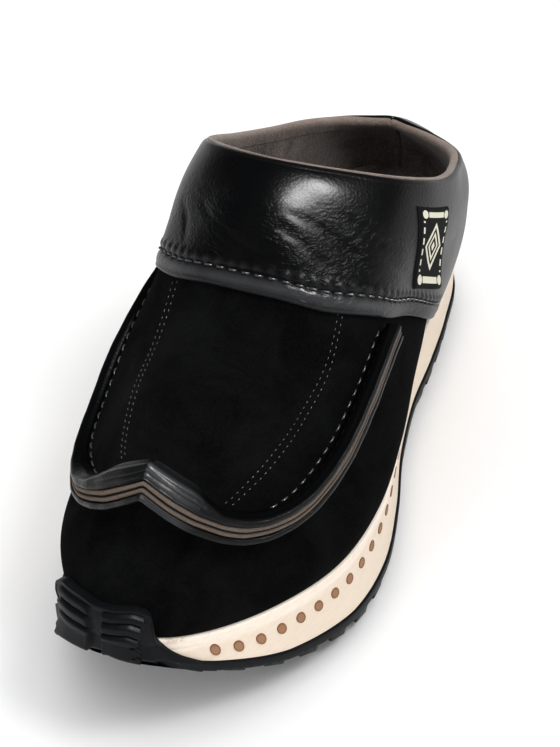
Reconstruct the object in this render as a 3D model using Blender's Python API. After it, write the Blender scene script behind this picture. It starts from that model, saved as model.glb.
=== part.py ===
"""Left shoe of a pair of leather mules with a folk-style turned-up seam and a wrapped sole.

The shoe is modelled heel to toe along +X, its outer side towards +Y, standing on z = 0.
Every piece is read from four lines that run round the shoe: the edge of the midsole, the seam
between vamp and apron, a line half way up from there, and the top line with the middle line
of the instep. A place on the upper is a pair of numbers. The first, walk, counts stations
from the back of the heel along the outer side to the toe (13) and back along the inner side
to the heel (26). The second, level, is 0 at the sole, 1 at the seam and 2 at the top.
"""

import functools
import math

import bmesh
import bpy
import numpy as np
from mathutils import Matrix, Vector

# Foot and last, in metres.
LENGTH = 0.290
BALL_WIDTH = 0.099
SEAM_WIDTH = 0.090
THROAT_WIDTH = 0.083
SEAM_HEIGHT = 0.048
COLLAR_HEIGHT = 0.1117

# How far the vamp leans out where it leaves the sole, in degrees.
VAMP_LEAN_DEG = 24.23

# Sole, in metres. Heights are measured from the floor.
HEEL_HEIGHT = 0.0508
BALL_HEIGHT = 0.0332
TOE_RISE = 0.0188
SOLE_UNDER_BALL = 0.0083
HEEL_BEVEL = 0.0137
TOE_SPRING = 0.0370
SOLE_FLARE = 0.0056
SOLE_LIP = 0.0010
PLATE = 0.0036
LUG_LENGTH = 0.0095
LUG_PITCH = 0.0155
LUG_DEPTH = 0.0110
LUG_TAPER = 0.0012
MID_LUG_LENGTH = 0.0080
MID_LUG_PITCH = 0.0165
MID_LUG_SKEW = 0.0040
MID_LUG_SPACE = 0.0035
MID_LUG_SHORTEST = 0.0048

# Toe bumper, in metres. It starts low on the edge of the plate.
BUMPER_ROOT = 0.0034
BUMPER_WALL = 0.0030
BUMPER_RISE = 0.0120
BUMPER_PAD = 0.0012
BUMPER_CHANNEL = 0.0048

# Upper and its trimmings, in metres.
WALL = 0.0020
LEDGE = 0.0010
COLLAR_WALL = 0.0026
COLLAR_LEATHER = 0.0021
COLLAR_PADDING = 0.0012
INSOLE_THICKNESS = 0.0040
FLANGE_REACH = 0.0074
BEAK_REACH = 0.0100
BINDING = 0.0022
SEAM_LEATHER = 0.0040
EDGE_TRIM = 0.0006
LABEL_WALL = 0.0008

# Clearances, in metres.
GAP = 0.0003
SKIN_GAP = 0.0005
COLLAR_GAP = 0.0008

# Foot outline and sole, a row for each station from heel to toe. x is a share of LENGTH, the
# two half widths are shares of BALL_WIDTH and flare is a share of SOLE_FLARE. back and front
# say how much of the heel's and the toe's rise the midsole's top has there, bevel and spring
# do the same for its lower edge, and tread is the share of that rise which the lugs follow.
SOLE_SECTIONS = [
    # x, lateral, medial, flare, back, front, bevel, spring, tread
    (0.000, 0.000, 0.000, 0.90, 1.00, 0.00, 1.00, 0.00, 0.85),
    (0.020, 0.194, 0.167, 0.35, 0.97, 0.00, 0.62, 0.00, 0.70),
    (0.070, 0.327, 0.272, -0.20, 0.93, 0.00, 0.30, 0.00, 0.25),
    (0.160, 0.389, 0.283, -0.50, 0.84, 0.00, 0.18, 0.00, 0.00),
    (0.260, 0.417, 0.241, -0.60, 0.77, 0.00, 0.16, 0.00, 0.00),
    (0.360, 0.423, 0.219, -0.55, 0.73, 0.00, 0.14, 0.00, 1.20),
    (0.460, 0.458, 0.271, -0.45, 0.58, 0.00, 0.07, 0.00, 0.00),
    (0.560, 0.505, 0.384, 0.00, 0.31, 0.00, 0.00, 0.00, 0.00),
    (0.660, 0.524, 0.475, 0.50, 0.04, 0.02, 0.00, 0.02, 0.00),
    (0.760, 0.480, 0.488, 0.90, 0.00, 0.01, 0.00, 0.11, 0.90),
    (0.860, 0.351, 0.422, 1.00, 0.00, 0.19, 0.00, 0.32, 1.00),
    (0.940, 0.183, 0.316, 0.70, 0.00, 0.44, 0.00, 0.64, 1.00),
    (0.985, 0.049, 0.207, 0.40, 0.00, 0.75, 0.00, 0.91, 1.00),
    (1.000, -0.073, 0.073, 0.10, 0.00, 1.00, 0.00, 1.00, 1.00),
]

# Seam between vamp and apron in front, swell of the heel cup behind. x is a share of LENGTH,
# the half widths are shares of SEAM_WIDTH and up is the height over the midsole's top as a
# share of SEAM_HEIGHT.
SEAM_SECTIONS = [
    # x, lateral, medial, up
    (0.012, 0.000, 0.000, 0.32),
    (0.030, 0.180, 0.150, 0.34),
    (0.078, 0.315, 0.270, 0.38),
    (0.160, 0.410, 0.345, 0.48),
    (0.255, 0.445, 0.390, 0.62),
    (0.352, 0.455, 0.435, 0.80),
    (0.452, 0.425, 0.485, 1.00),
    (0.546, 0.430, 0.525, 1.00),
    (0.642, 0.430, 0.545, 0.92),
    (0.731, 0.410, 0.522, 0.80),
    (0.810, 0.345, 0.467, 0.69),
    (0.862, 0.228, 0.356, 0.66),
    (0.890, 0.094, 0.206, 0.73),
    (0.902, -0.050, 0.050, 0.83),
]

# Line half way from the seam to the top. x is a share of LENGTH, the half widths are shares
# of THROAT_WIDTH and up is the height over the midsole's top as a share of COLLAR_HEIGHT.
CROWN_SECTIONS = [
    # x, lateral, medial, up
    (0.034, 0.000, 0.000, 0.235),
    (0.049, 0.150, 0.130, 0.240),
    (0.085, 0.290, 0.260, 0.255),
    (0.156, 0.435, 0.370, 0.310),
    (0.246, 0.490, 0.435, 0.380),
    (0.335, 0.505, 0.505, 0.480),
    (0.431, 0.480, 0.530, 0.600),
    (0.510, 0.420, 0.500, 0.680),
    (0.580, 0.330, 0.415, 0.670),
    (0.670, 0.250, 0.350, 0.560),
    (0.752, 0.205, 0.300, 0.520),
    (0.822, 0.135, 0.235, 0.455),
    (0.872, 0.040, 0.145, 0.400),
    (0.902, -0.054, 0.054, 0.357),
]

# Top line of the opening, from the back of the heel to the front of the collar, with the
# same columns as the line below it.
TOP_LINE = [
    # x, lateral, medial, up
    (0.066, -0.005, 0.005, 0.303),
    (0.074, 0.090, 0.100, 0.307),
    (0.095, 0.217, 0.215, 0.326),
    (0.155, 0.400, 0.350, 0.392),
    (0.235, 0.470, 0.445, 0.474),
    (0.318, 0.492, 0.512, 0.573),
    (0.403, 0.455, 0.505, 0.720),
    (0.474, 0.325, 0.385, 0.872),
    (0.531, -0.042, 0.042, 1.000),
]

# Middle line of the instep and the apron between the front of the collar and the beak, where
# the seam comes to its point. up is measured from the midsole's top under the ball.
SPINE = [
    # station, x, lateral, up
    (8.5, 0.588, -0.042, 0.930),
    (9.0, 0.629, -0.042, 0.715),
    (9.5, 0.667, -0.043, 0.660),
    (10.0, 0.712, -0.044, 0.630),
    (11.0, 0.795, -0.046, 0.580),
    (12.0, 0.860, -0.048, 0.535),
]

# Lower edge of the collar: the level it has at each station, the same on both sides.
COLLAR_EDGE = [
    # station, level
    (4.35, 0.00),
    (5.40, 0.45),
    (6.30, 0.85),
    (7.00, 1.13),
    (7.60, 1.32),
    (8.20, 1.49),
    (8.60, 1.64),
    (8.85, 1.80),
    (9.00, 2.00),
]

# Upper edge of the toe bumper: 0 at the midsole's lower edge, 1 at its top and 2 at the
# bumper's full rise over it.
BUMPER_EDGE = [
    # walk, level
    (11.10, 0.02),
    (11.50, 0.45),
    (11.88, 0.98),
    (11.98, 1.60),
    (12.10, 1.95),
    (12.30, 2.00),
    (12.70, 1.88),
    (13.10, 1.80),
    (13.60, 1.88),
    (14.00, 2.00),
    (14.12, 1.95),
    (14.22, 1.60),
    (14.32, 0.98),
    (14.60, 0.45),
    (15.00, 0.02),
]

# Corners of the woven label on the outer side of the collar.
LABEL_CORNERS = [
    # station, level
    (4.95, 0.66),
    (6.00, 0.98),
    (6.22, 1.72),
    (5.10, 1.58),
]

TOE = len(SOLE_SECTIONS) - 1
ROUND = 2 * TOE
THROAT = len(TOP_LINE) - 1
COLLAR_FRONT = COLLAR_EDGE[-1][0]
COLLAR_STEPS = 10
LUG_NARROWING = 85 / 100
FLANGE_END = 6.95

# Stations between which the collar's foot leaves the sole's edge, the skin turns from a smooth
# heel cup to a crease along the seam, and the top flattens to arch over the instep.
COLLAR_STANDS = 4.2
COLLAR_LEAVES = 5.6
CREASE_STARTS = 5.0
CREASE_FULL = 7.5
ARCH_STARTS = 6.0

# Pulls of the ribs' cubics, as shares of the spans they cross.
SMOOTH_PULL = 66 / 100
ARCH_PULL = 110 / 100

STATIONS = [0, 0.5, 1, 1.5, 2, 2.5, 3, 3.5, 4, 4.5, 5, 5.5, 6, 6.5, 7, 7.5, 8, 8.3, 8.6, 8.8, 9,
            9.5, 10, 10.5, 11, 11.5, 12, 12.5, 13]
BEAK_STATIONS = [12.25, 12.65, 12.8, 12.92]
SKIN_LEVELS = [0, 0.12, 0.3, 0.5, 0.7, 0.88, 1, 1.12, 1.25, 1.4, 1.55, 1.7, 1.85, 2]
UP = np.array([0.0, 0.0, 1.0])
STEPS_PER_STATION = 50


def blend(start, end, value):
    """Smooth step from 0 at start to 1 at end."""
    t = min(max((value - start) / (end - start), 0.0), 1.0)
    return t * t * (3.0 - 2.0 * t)


def unit(vector):
    return vector / max(np.linalg.norm(vector), 1e-12)


def hermite(start, end, start_pull, end_pull, t):
    """Point at t on the cubic that leaves start along one pull and reaches end along the other."""
    return (start * (2 * t**3 - 3 * t**2 + 1) + end * (3 * t**2 - 2 * t**3)
            + start_pull * (t**3 - 2 * t**2 + t) + end_pull * (t**3 - t**2))


def curve_through(points, closed):
    """Smooth curve through the points, read at an index that may lie between two of them."""
    points = np.asarray(points, dtype=float)
    count = len(points)

    def pick(i):
        if closed:
            return points[i % count]
        if i < 0:
            return 2.0 * points[0] - points[1]
        if i >= count:
            return 2.0 * points[-1] - points[-2]
        return points[i]

    @functools.lru_cache(maxsize=None)
    def read(index):
        i = math.floor(index)
        if not closed:
            i = min(max(i, 0), count - 2)
        p0, p1, p2, p3 = (pick(i + step) for step in (-1, 0, 1, 2))
        d1 = math.sqrt(np.linalg.norm(p1 - p0) + 1e-9)
        d2 = math.sqrt(np.linalg.norm(p2 - p1) + 1e-9)
        d3 = math.sqrt(np.linalg.norm(p3 - p2) + 1e-9)
        start_pull = ((p1 - p0) / d1 - (p2 - p0) / (d1 + d2) + (p2 - p1) / d2) * d2
        end_pull = ((p2 - p1) / d2 - (p3 - p1) / (d2 + d3) + (p3 - p2) / d3) * d2
        return hermite(p1, p2, start_pull, end_pull, index - i)

    return read


def ring(rows):
    """Closed line round the shoe from rows of (x, lateral y, medial y, z), heel to toe."""
    lateral = [(x, left, z) for x, left, right, z in rows]
    medial = [(x, right, z) for x, left, right, z in rows]
    return curve_through(lateral + medial[-2:0:-1], True)


def outward(line, walk):
    """Level direction out of the shoe, square to a ring."""
    step = 1.0 / STEPS_PER_STATION
    along = line(walk + step) - line(walk - step)
    return unit(np.array([-along[1], along[0], 0.0]))


def station_of(walk):
    walk = walk % ROUND
    return min(walk, ROUND - walk)


def midsole_top(row):
    """Height of the midsole's top edge at a row of the sole's table."""
    back, front = row[4:6]
    return BALL_HEIGHT + (HEEL_HEIGHT - BALL_HEIGHT) * back + TOE_RISE * front


def foot_rise(row):
    """Rise of the midsole's lower edge at a row of the sole's table."""
    bevel, spring = row[6:8]
    return HEEL_BEVEL * bevel + TOE_SPRING * spring


def last_rows(sections, width, height):
    """Rows of a ring on the upper from a table of sections and its two sizes."""
    return [(x * LENGTH, left * width, -right * width, midsole_top(sole) + up * height)
            for sole, (x, left, right, up) in zip(SOLE_SECTIONS, sections)]


top_edge = ring([(x * LENGTH, left * BALL_WIDTH, -right * BALL_WIDTH, midsole_top((x, left, right, *rest)))
                 for x, left, right, *rest in SOLE_SECTIONS])
seam_line = ring(last_rows(SEAM_SECTIONS, SEAM_WIDTH, SEAM_HEIGHT))
crown_line = ring(last_rows(CROWN_SECTIONS, THROAT_WIDTH, COLLAR_HEIGHT))
throat_line = ring(last_rows(TOP_LINE, THROAT_WIDTH, COLLAR_HEIGHT))
flare_at = curve_through([(flare * SOLE_FLARE,) for _, _, _, flare, *rest in SOLE_SECTIONS], False)
rise_at = curve_through([(foot_rise(row),) for row in SOLE_SECTIONS], False)
tread_at = curve_through([(foot_rise((*rest, tread)) * tread,) for *rest, tread in SOLE_SECTIONS], False)
spine_curve = curve_through(
    [tuple(throat_line(THROAT))]
    + [(x * LENGTH, y * THROAT_WIDTH, BALL_HEIGHT + up * COLLAR_HEIGHT) for _, x, y, up in SPINE]
    + [tuple(seam_line(TOE))], False)
spine_stations = [THROAT] + [row[0] for row in SPINE] + [TOE]


def foot_edge(walk):
    """Lower edge of the midsole, flared out from its top edge."""
    station = station_of(walk)
    point = top_edge(walk) + outward(top_edge, walk) * flare_at(station)[0]
    point[2] = SOLE_UNDER_BALL + rise_at(station)[0]
    return point


def top_line(walk):
    """Top line round the opening, then the middle line of instep and apron."""
    walk = walk % ROUND
    station = station_of(walk)
    if station <= THROAT:
        return throat_line(walk if walk <= TOE else walk - ROUND)
    return spine_curve(np.interp(station, spine_stations, range(len(spine_stations))))


def collar_room(walk):
    """How far the heel cup is drawn in, so that the collar stays inside the sole's edge."""
    return (COLLAR_WALL + SKIN_GAP) * blend(COLLAR_LEAVES, COLLAR_STANDS, station_of(walk))


@functools.lru_cache(maxsize=None)
def skin(walk, level):
    """Point on the outer face of the upper."""
    station = station_of(walk)
    if station == TOE and level > 1.0:
        return seam_line(walk)
    out = outward(top_edge, walk)
    foot = top_edge(walk) - out * (LEDGE + collar_room(walk)) + UP * GAP
    seam = seam_line(walk)
    crown = crown_line(walk)
    front = blend(CREASE_STARTS, CREASE_FULL, station)
    if level <= 1.0:
        rise = np.linalg.norm(seam - foot)
        foot_pull = (out * math.tan(math.radians(VAMP_LEAN_DEG)) + UP) * rise
        seam_pull = (crown - foot) * SMOOTH_PULL * (1.0 - front) + UP * rise * front
        return hermite(foot, seam, foot_pull, seam_pull, level)
    top = top_line(walk)
    crown_pull = (top - seam) * 0.5
    if level <= 1.5:
        smooth = (crown - foot) * 0.5
        crease = (crown - seam) * 1.5 - crown_pull * 0.5
        seam_pull = smooth * (1.0 - front) + crease * front
        return hermite(seam, crown, seam_pull, crown_pull, (level - 1.0) * 2.0)
    side = 1.0 if walk % ROUND <= TOE else -1.0
    across = np.array([0.0, -side, 0.0]) * np.linalg.norm((top - crown)[:2]) * ARCH_PULL
    over = blend(ARCH_STARTS, THROAT, station)
    top_pull = (top - crown) * (1.0 - over) + across * over
    return hermite(crown, top, crown_pull, top_pull, (level - 1.5) * 2.0)


def side_normal(walk, level):
    """Direction out of the upper at a place, measured on its own side of the shoe."""
    step = 1.0 / STEPS_PER_STATION
    low = max(level - step, 0.0)
    high = min(level + step, 2.0)
    along = skin(walk + step, level) - skin(walk - step, level)
    upward = skin(walk, high) - skin(walk, low)
    return unit(np.cross(upward, along))


def beak_normal():
    """Direction out of the upper at its point, between the apron and the vamp below it."""
    return unit(side_normal(TOE - 0.4, 1.5) + side_normal(TOE + 0.4, 1.5) + side_normal(TOE, 0.9))


def normal(walk, level):
    """Direction out of the upper, level at the sole and shared where the two sides meet."""
    station = station_of(walk)
    if level <= 0.0:
        return outward(top_edge, walk)
    near_beak = blend(11.4, 12.4, station) * blend(0.6, 0.95, level)
    if near_beak >= 1.0:
        return beak_normal()
    if level >= 2.0 and station >= THROAT:
        own = side_normal(station, 2.0) + side_normal(ROUND - station, 2.0)
    else:
        own = side_normal(walk, level)
    return unit(unit(own) * (1.0 - near_beak) + beak_normal() * near_beak)


def clean(bm):
    """Join the points that meet and turn the faces outwards."""
    bmesh.ops.remove_doubles(bm, verts=bm.verts[:], dist=2e-6)
    bmesh.ops.dissolve_degenerate(bm, edges=bm.edges[:], dist=1e-7)
    bmesh.ops.recalc_face_normals(bm, faces=bm.faces[:])


def make_object(name, bm, material):
    clean(bm)
    mesh = bpy.data.meshes.new(name)
    bm.to_mesh(mesh)
    bm.free()
    mesh.materials.append(material)
    mesh.shade_smooth()
    mesh.set_sharp_from_angle(angle=math.radians(40))
    piece = bpy.data.objects.new(name, mesh)
    bpy.context.scene.collection.objects.link(piece)
    return piece


def make_material(name, color, roughness):
    material = bpy.data.materials.new(name)
    material.use_nodes = True
    shader = material.node_tree.nodes["Principled BSDF"]
    shader.inputs["Base Color"].default_value = (*color, 1.0)
    shader.inputs["Roughness"].default_value = roughness
    shader.inputs["Metallic"].default_value = 0.0
    return material


def add_grid(bm, columns, closed=False):
    """Quads between neighbouring columns of points."""
    columns = [[bm.verts.new(point) for point in column] for column in columns]
    pairs = list(zip(columns, columns[1:]))
    if closed:
        pairs.append((columns[-1], columns[0]))
    for left, right in pairs:
        for a, b, c, d in zip(left, right, right[1:], left[1:]):
            bm.faces.new((a, b, c, d))
    return columns


def join_edges(bm, first, second):
    """Quads between two rows of points of the same length."""
    for a, b, c, d in zip(first, first[1:], second[1:], second):
        bm.faces.new((a, b, c, d))


def skin_shell(walks, levels_at, low, high, closed=False):
    """Closed shell that lies from low to high over the upper's outer face.

    levels_at(walk) gives the levels of a column; low and high give the height over the face
    at a place. The upper edge stays open where it is the middle line, because the two sides
    join there.
    """
    bm = bmesh.new()
    inner, outer = [], []
    for walk in walks:
        levels = levels_at(walk)
        places = [(skin(walk, level), normal(walk, level)) for level in levels]
        inner.append([tuple(p + n * low(walk, i)) for i, (p, n) in enumerate(places)])
        outer.append([tuple(p + n * high(walk, i)) for i, (p, n) in enumerate(places)])
    inner = add_grid(bm, inner, closed)
    outer = add_grid(bm, outer, closed)
    count = len(walks)
    for i in range(count if closed else count - 1):
        j = (i + 1) % count
        join_edges(bm, (inner[i][0], inner[j][0]), (outer[i][0], outer[j][0]))
        on_spine = max(station_of(walks[i]), station_of(walks[j])) > THROAT
        if not (on_spine and levels_at(walks[i])[-1] >= 2.0):
            join_edges(bm, (inner[i][-1], inner[j][-1]), (outer[i][-1], outer[j][-1]))
    return bm, inner, outer


def round_walks(stations):
    """Stations of both sides in walking order."""
    return list(stations) + [ROUND - s for s in reversed(stations[1:-1])]


def layered_body(rings, stations, divisions):
    """Closed body from rings stacked top to bottom, closed straight across at both ends."""
    bm = bmesh.new()
    add_grid(bm, [[tuple(read(walk)) for read in rings] for walk in round_walks(stations)], True)
    for read in (rings[0], rings[-1]):
        rows = []
        for station in stations:
            left, right = read(station), read(ROUND - station)
            shares = [k / divisions for k in range(divisions + 1)]
            rows.append([tuple(left + (right - left) * share) for share in shares])
        add_grid(bm, rows)
    return bm


def lowered(read, drop, out=0.0):
    """The same ring, lower and further out."""
    return lambda walk: read(walk) + outward(top_edge, walk) * out - UP * drop


def between(first, second, share):
    return lambda walk: first(walk) * (1.0 - share) + second(walk) * share


def build_midsole(material):
    rings = [top_edge] + [between(top_edge, foot_edge, share) for share in (0.33, 0.67)] + [foot_edge]
    return make_object("midsole", layered_body(rings, STATIONS, 4), material)


def insole_edge(walk):
    """Outline of the insole, inside the upper's wall."""
    inset = LEDGE + collar_room(walk) + WALL + SKIN_GAP
    return top_edge(walk) - outward(top_edge, walk) * inset


def build_insole(material):
    top = lowered(insole_edge, -GAP - INSOLE_THICKNESS)
    rings = [top, lowered(insole_edge, -GAP)]
    return make_object("insole", layered_body(rings, STATIONS, 4), material)


def build_upper(material):
    bm, _, _ = skin_shell(round_walks(STATIONS), lambda walk: SKIN_LEVELS,
                          lambda walk, i: -WALL, lambda walk, i: 0.0, closed=True)
    return make_object("upper", bm, material)


def collar_levels(walk):
    """Levels of the collar from its lower edge up to the top line."""
    stations, levels = zip(*COLLAR_EDGE)
    low = np.interp(station_of(walk), stations, levels)
    return [low + (2.0 - low) * k / COLLAR_STEPS for k in range(COLLAR_STEPS + 1)]


def collar_height(walk, i):
    """Outer face of the collar over the upper: full low down, and plain leather where the
    collar is narrow and along the rim."""
    low = collar_levels(walk)[0]
    share = min(i / COLLAR_STEPS + 0.12, 1.0)
    fullness = math.sin(math.pi * share) * min((2.0 - low) / 0.6, 1.0)
    return COLLAR_GAP + COLLAR_LEATHER + COLLAR_PADDING * fullness


def build_collar(material):
    stations = [s for s in STATIONS if s <= COLLAR_FRONT]
    walks = [-s for s in reversed(stations[1:])] + stations
    bm, _, _ = skin_shell(walks, collar_levels, lambda walk, i: COLLAR_GAP, collar_height)
    return make_object("collar", bm, material)


def label_place(across, up):
    """Place on the label from 0 to 1 each way, as a station and a level."""
    low_back, low_front, high_front, high_back = (np.array(corner) for corner in LABEL_CORNERS)
    low = low_back + (low_front - low_back) * across
    high = high_back + (high_front - high_back) * across
    return low + (high - low) * up


def build_label(material):
    """Thin woven patch that lies on the collar."""
    bm = bmesh.new()
    steps = [k / 5 for k in range(6)]
    grids = []
    for over in (SKIN_GAP, SKIN_GAP + LABEL_WALL):
        columns = []
        for across in steps:
            column = []
            for up in steps:
                station, level = label_place(across, up)
                low = collar_levels(station)[0]
                share = (level - low) / (2.0 - low) * COLLAR_STEPS
                height = collar_height(station, share) + over
                column.append(tuple(skin(station, level) + normal(station, level) * height))
            columns.append(column)
        grids.append(add_grid(bm, columns))
    under, over = grids
    join_edges(bm, [c[0] for c in under], [c[0] for c in over])
    join_edges(bm, [c[-1] for c in under], [c[-1] for c in over])
    join_edges(bm, under[0], over[0])
    join_edges(bm, under[-1], over[-1])
    return make_object("label", bm, material)


def flange_frame(walk):
    """Seam point with the directions along the flange: outwards, and up through its layers."""
    near_beak = math.exp(-((walk - TOE) / 0.45) ** 2)
    tilt = math.radians(10.0 + 32.0 * near_beak)
    step = 1.0 / STEPS_PER_STATION
    along = unit(seam_line(walk + step) - seam_line(walk - step))
    out = outward(seam_line, walk)
    up = unit(np.cross(along, out))
    reach = out * math.cos(tilt) + up * math.sin(tilt)
    stack = up * math.cos(tilt) - out * math.sin(tilt)
    width = FLANGE_REACH + (BEAK_REACH - FLANGE_REACH) * near_beak
    return seam_line(walk), reach, stack, width


def skin_reach(walk, height):
    """How far the upper comes out along the flange at a height in its layers."""
    seam, reach, stack, _ = flange_frame(walk)
    levels = np.linspace(1.0, 1.45 if height > 0.0 else 0.55, 19)
    offsets = [skin(walk, level) - seam for level in levels]
    heights = [abs(np.dot(offset, stack)) for offset in offsets]
    reaches = [np.dot(offset, reach) for offset in offsets]
    return np.interp(abs(height), np.maximum.accumulate(heights), reaches)


def flange_strip(low, high, trim):
    """One layer of the raised seam, from the collar on one side round the beak to the other."""
    bm = bmesh.new()
    stations = sorted([FLANGE_END] + [s for s in STATIONS if s > FLANGE_END] + BEAK_STATIONS)
    columns = []
    for walk in stations + [ROUND - s for s in reversed(stations[:-1])]:
        seam, reach, stack, width = flange_frame(walk)
        roots = [max(skin_reach(walk, h), skin_reach(walk, h * 0.5)) + SKIN_GAP for h in (low, high)]
        corners = [(roots[0], low), (width - trim, low), (width - trim, high), (roots[1], high)]
        columns.append([tuple(seam + reach * out + stack * up) for out, up in corners])
    columns = [column + [column[0]] for column in columns]
    for column in (columns[0], columns[-1]):
        bm.faces.new([bm.verts.new(point) for point in column[:-1]])
    add_grid(bm, columns)
    return bm


def build_raised_seam(leather, raw_edge):
    """The standing seam: a binding over and under, and the two raw edges of suede between."""
    half = SEAM_LEATHER / 2.0
    make_object("apron_binding", flange_strip(half + SKIN_GAP, half + SKIN_GAP + BINDING, 0.0), leather)
    make_object("seam_leather", flange_strip(-half, half, EDGE_TRIM), raw_edge)
    make_object("vamp_binding", flange_strip(-half - SKIN_GAP - BINDING, -half - SKIN_GAP, 0.0), leather)


def ground_edge(walk):
    """Outline of the rubber, a lip wider than the midsole's lower edge."""
    return foot_edge(walk) + outward(top_edge, walk) * SOLE_LIP - UP * GAP


def plate_bottom(station):
    return SOLE_UNDER_BALL + rise_at(station)[0] - GAP - PLATE


def station_at(x):
    """Station whose cross section lies at x."""
    stations = np.linspace(0.0, TOE, 261)
    return float(np.interp(x, [ground_edge(s)[0] for s in stations], stations))


def add_lug(bm, corners):
    """Block of rubber from inside the plate down to the tread, narrower at its foot."""
    centre = sum(corners) / len(corners)
    top, foot = [], []
    for corner in corners:
        station = station_at(corner[0])
        inset = corner - unit(corner - centre) * LUG_TAPER
        top.append(bm.verts.new((corner[0], corner[1], plate_bottom(station) + PLATE * 0.5)))
        foot.append(bm.verts.new((inset[0], inset[1], max(tread_at(station)[0], 0.0))))
    bm.faces.new(top)
    bm.faces.new(foot)
    for i in range(4):
        j = (i + 1) % 4
        bm.faces.new((top[i], top[j], foot[j], foot[i]))


def flat(point):
    return np.array([point[0], point[1], 0.0])


def edge_lugs(bm):
    """Lugs all round the edge, set out by length along it."""
    walks = np.linspace(0.0, ROUND, 521)
    line = [flat(ground_edge(walk)) for walk in walks]
    lengths = np.concatenate(([0.0], np.cumsum([np.linalg.norm(b - a) for a, b in zip(line, line[1:])])))
    count = round(lengths[-1] / LUG_PITCH)
    for k in range(count):
        centre = (k + 0.5) * lengths[-1] / count
        first, last = np.interp([centre - LUG_LENGTH / 2.0, centre + LUG_LENGTH / 2.0], lengths, walks)
        outer = [flat(ground_edge(walk)) for walk in (first, last)]
        inner = [flat(ground_edge(walk)) - outward(ground_edge, walk) * LUG_DEPTH for walk in (last, first)]
        middle = (inner[0] + inner[1]) / 2.0
        inner = [middle + (point - middle) * LUG_NARROWING for point in inner]
        add_lug(bm, outer + inner)


def mid_lugs(bm):
    """Two rows of slanted lugs inside the ring of edge lugs."""
    start = LUG_DEPTH + MID_LUG_SPACE + MID_LUG_LENGTH
    count = int((LENGTH - 2.0 * start) / MID_LUG_PITCH)
    half = MID_LUG_LENGTH / 2.0
    for k in range(count):
        x = start + (k + 0.5) * (LENGTH - 2.0 * start) / count
        station = station_at(x)
        middle = (ground_edge(station)[1] + ground_edge(ROUND - station)[1]) / 2.0
        for side in (1.0, -1.0):
            rooms = []
            for end in (station_at(x - half - MID_LUG_SKEW), station_at(x + half)):
                walk = end if side > 0.0 else ROUND - end
                depth = LUG_DEPTH / abs(outward(ground_edge, walk)[1])
                rooms.append((ground_edge(walk)[1] - middle) * side - depth)
            near = middle + side * MID_LUG_SPACE / 2.0
            far = middle + side * (min(rooms) - MID_LUG_SPACE)
            if (far - near) * side < MID_LUG_SHORTEST:
                continue
            add_lug(bm, [np.array([x - half, near, 0.0]), np.array([x + half, near, 0.0]),
                         np.array([x + half - MID_LUG_SKEW, far, 0.0]),
                         np.array([x - half - MID_LUG_SKEW, far, 0.0])])


def toe_front(walk, height):
    """Place on the front of the shoe and the direction out of it: height 0 is the midsole's
    lower edge, 1 its top edge and 2 the bumper's full rise up the vamp."""
    out = outward(top_edge, walk)
    if height <= 0.0:
        return foot_edge(walk) + UP * height * PLATE, out
    if height <= 1.0:
        return foot_edge(walk) * (1.0 - height) + top_edge(walk) * height, out
    levels = np.linspace(0.0, 0.6, 25)
    rises = [skin(walk, level)[2] - top_edge(walk)[2] for level in levels]
    level = float(np.interp((height - 1.0) * BUMPER_RISE, rises, levels))
    tilt = blend(1.0, 1.5, height)
    place = skin(walk, level) + out * LEDGE * (1.0 - tilt)
    return place, unit(out * (1.0 - tilt) + normal(walk, level) * tilt)


def bumper_thickness(walk, height, share):
    """Two ribbed pads with a channel between them, inside a plain rim."""
    channel = BUMPER_CHANNEL / np.linalg.norm(top_edge(TOE + 0.5) - top_edge(TOE)) * 0.25
    on_pad = abs(walk - 13.15) > channel and 12.15 < walk < 13.95 and 0.08 < share < 0.82
    rib = 0.45 if 0.50 < share < 0.62 else 1.0
    return BUMPER_WALL + (BUMPER_PAD * rib if on_pad else 0.0)


def build_bumper():
    """Rubber moulded up over the toe: its lowest row lies inside the plate."""
    bm = bmesh.new()
    walks, edge = zip(*BUMPER_EDGE)
    shares = [0.0, 0.10, 0.14, 0.30, 0.48, 0.53, 0.60, 0.65, 0.78, 0.86, 1.0]
    root = BUMPER_ROOT / PLATE
    columns = []
    for walk in sorted(set(walks) | {12.2, 12.5, 12.86, 12.98, 13.32, 13.44, 13.8, 13.9}):
        top = float(np.interp(walk, walks, edge))
        inner, outer = [], []
        for share in shares:
            height = -root + (top + root) * share
            point, out = toe_front(walk, height)
            inner.append(tuple(point + out * SKIN_GAP))
            outer.append(tuple(point + out * (SKIN_GAP + bumper_thickness(walk, height, share))))
        columns.append(inner + outer[::-1] + inner[:1])
    for column in (columns[0], columns[-1]):
        half = len(shares)
        under = [bm.verts.new(point) for point in column[:half]]
        over = [bm.verts.new(point) for point in column[half:2 * half][::-1]]
        join_edges(bm, under, over)
    add_grid(bm, columns)
    return bm


def add_union(target, tool):
    tool.hide_render = True
    tool.display_type = "WIRE"
    union = target.modifiers.new(tool.name, "BOOLEAN")
    union.operation = "UNION"
    union.solver = "EXACT"
    union.object = tool


def build_outsole(material):
    """Rubber plate with its lugs and the toe bumper in one piece."""
    rings = [ground_edge, lowered(ground_edge, PLATE)]
    outsole = make_object("outsole", layered_body(rings, STATIONS, 3), material)
    lugs = bmesh.new()
    edge_lugs(lugs)
    mid_lugs(lugs)
    add_union(outsole, make_object("lug_blocks", lugs, material))
    add_union(outsole, make_object("toe_rubber", build_bumper(), material))


def centre_on_origin():
    """Stand the finished shoe over the origin."""
    points = [vertex.co for piece in bpy.data.objects for vertex in piece.data.vertices]
    low = [min(point[axis] for point in points) for axis in range(3)]
    high = [max(point[axis] for point in points) for axis in range(3)]
    move = Vector((-(low[0] + high[0]) / 2.0, -(low[1] + high[1]) / 2.0, -low[2]))
    for piece in bpy.data.objects:
        piece.data.transform(Matrix.Translation(move))


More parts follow.
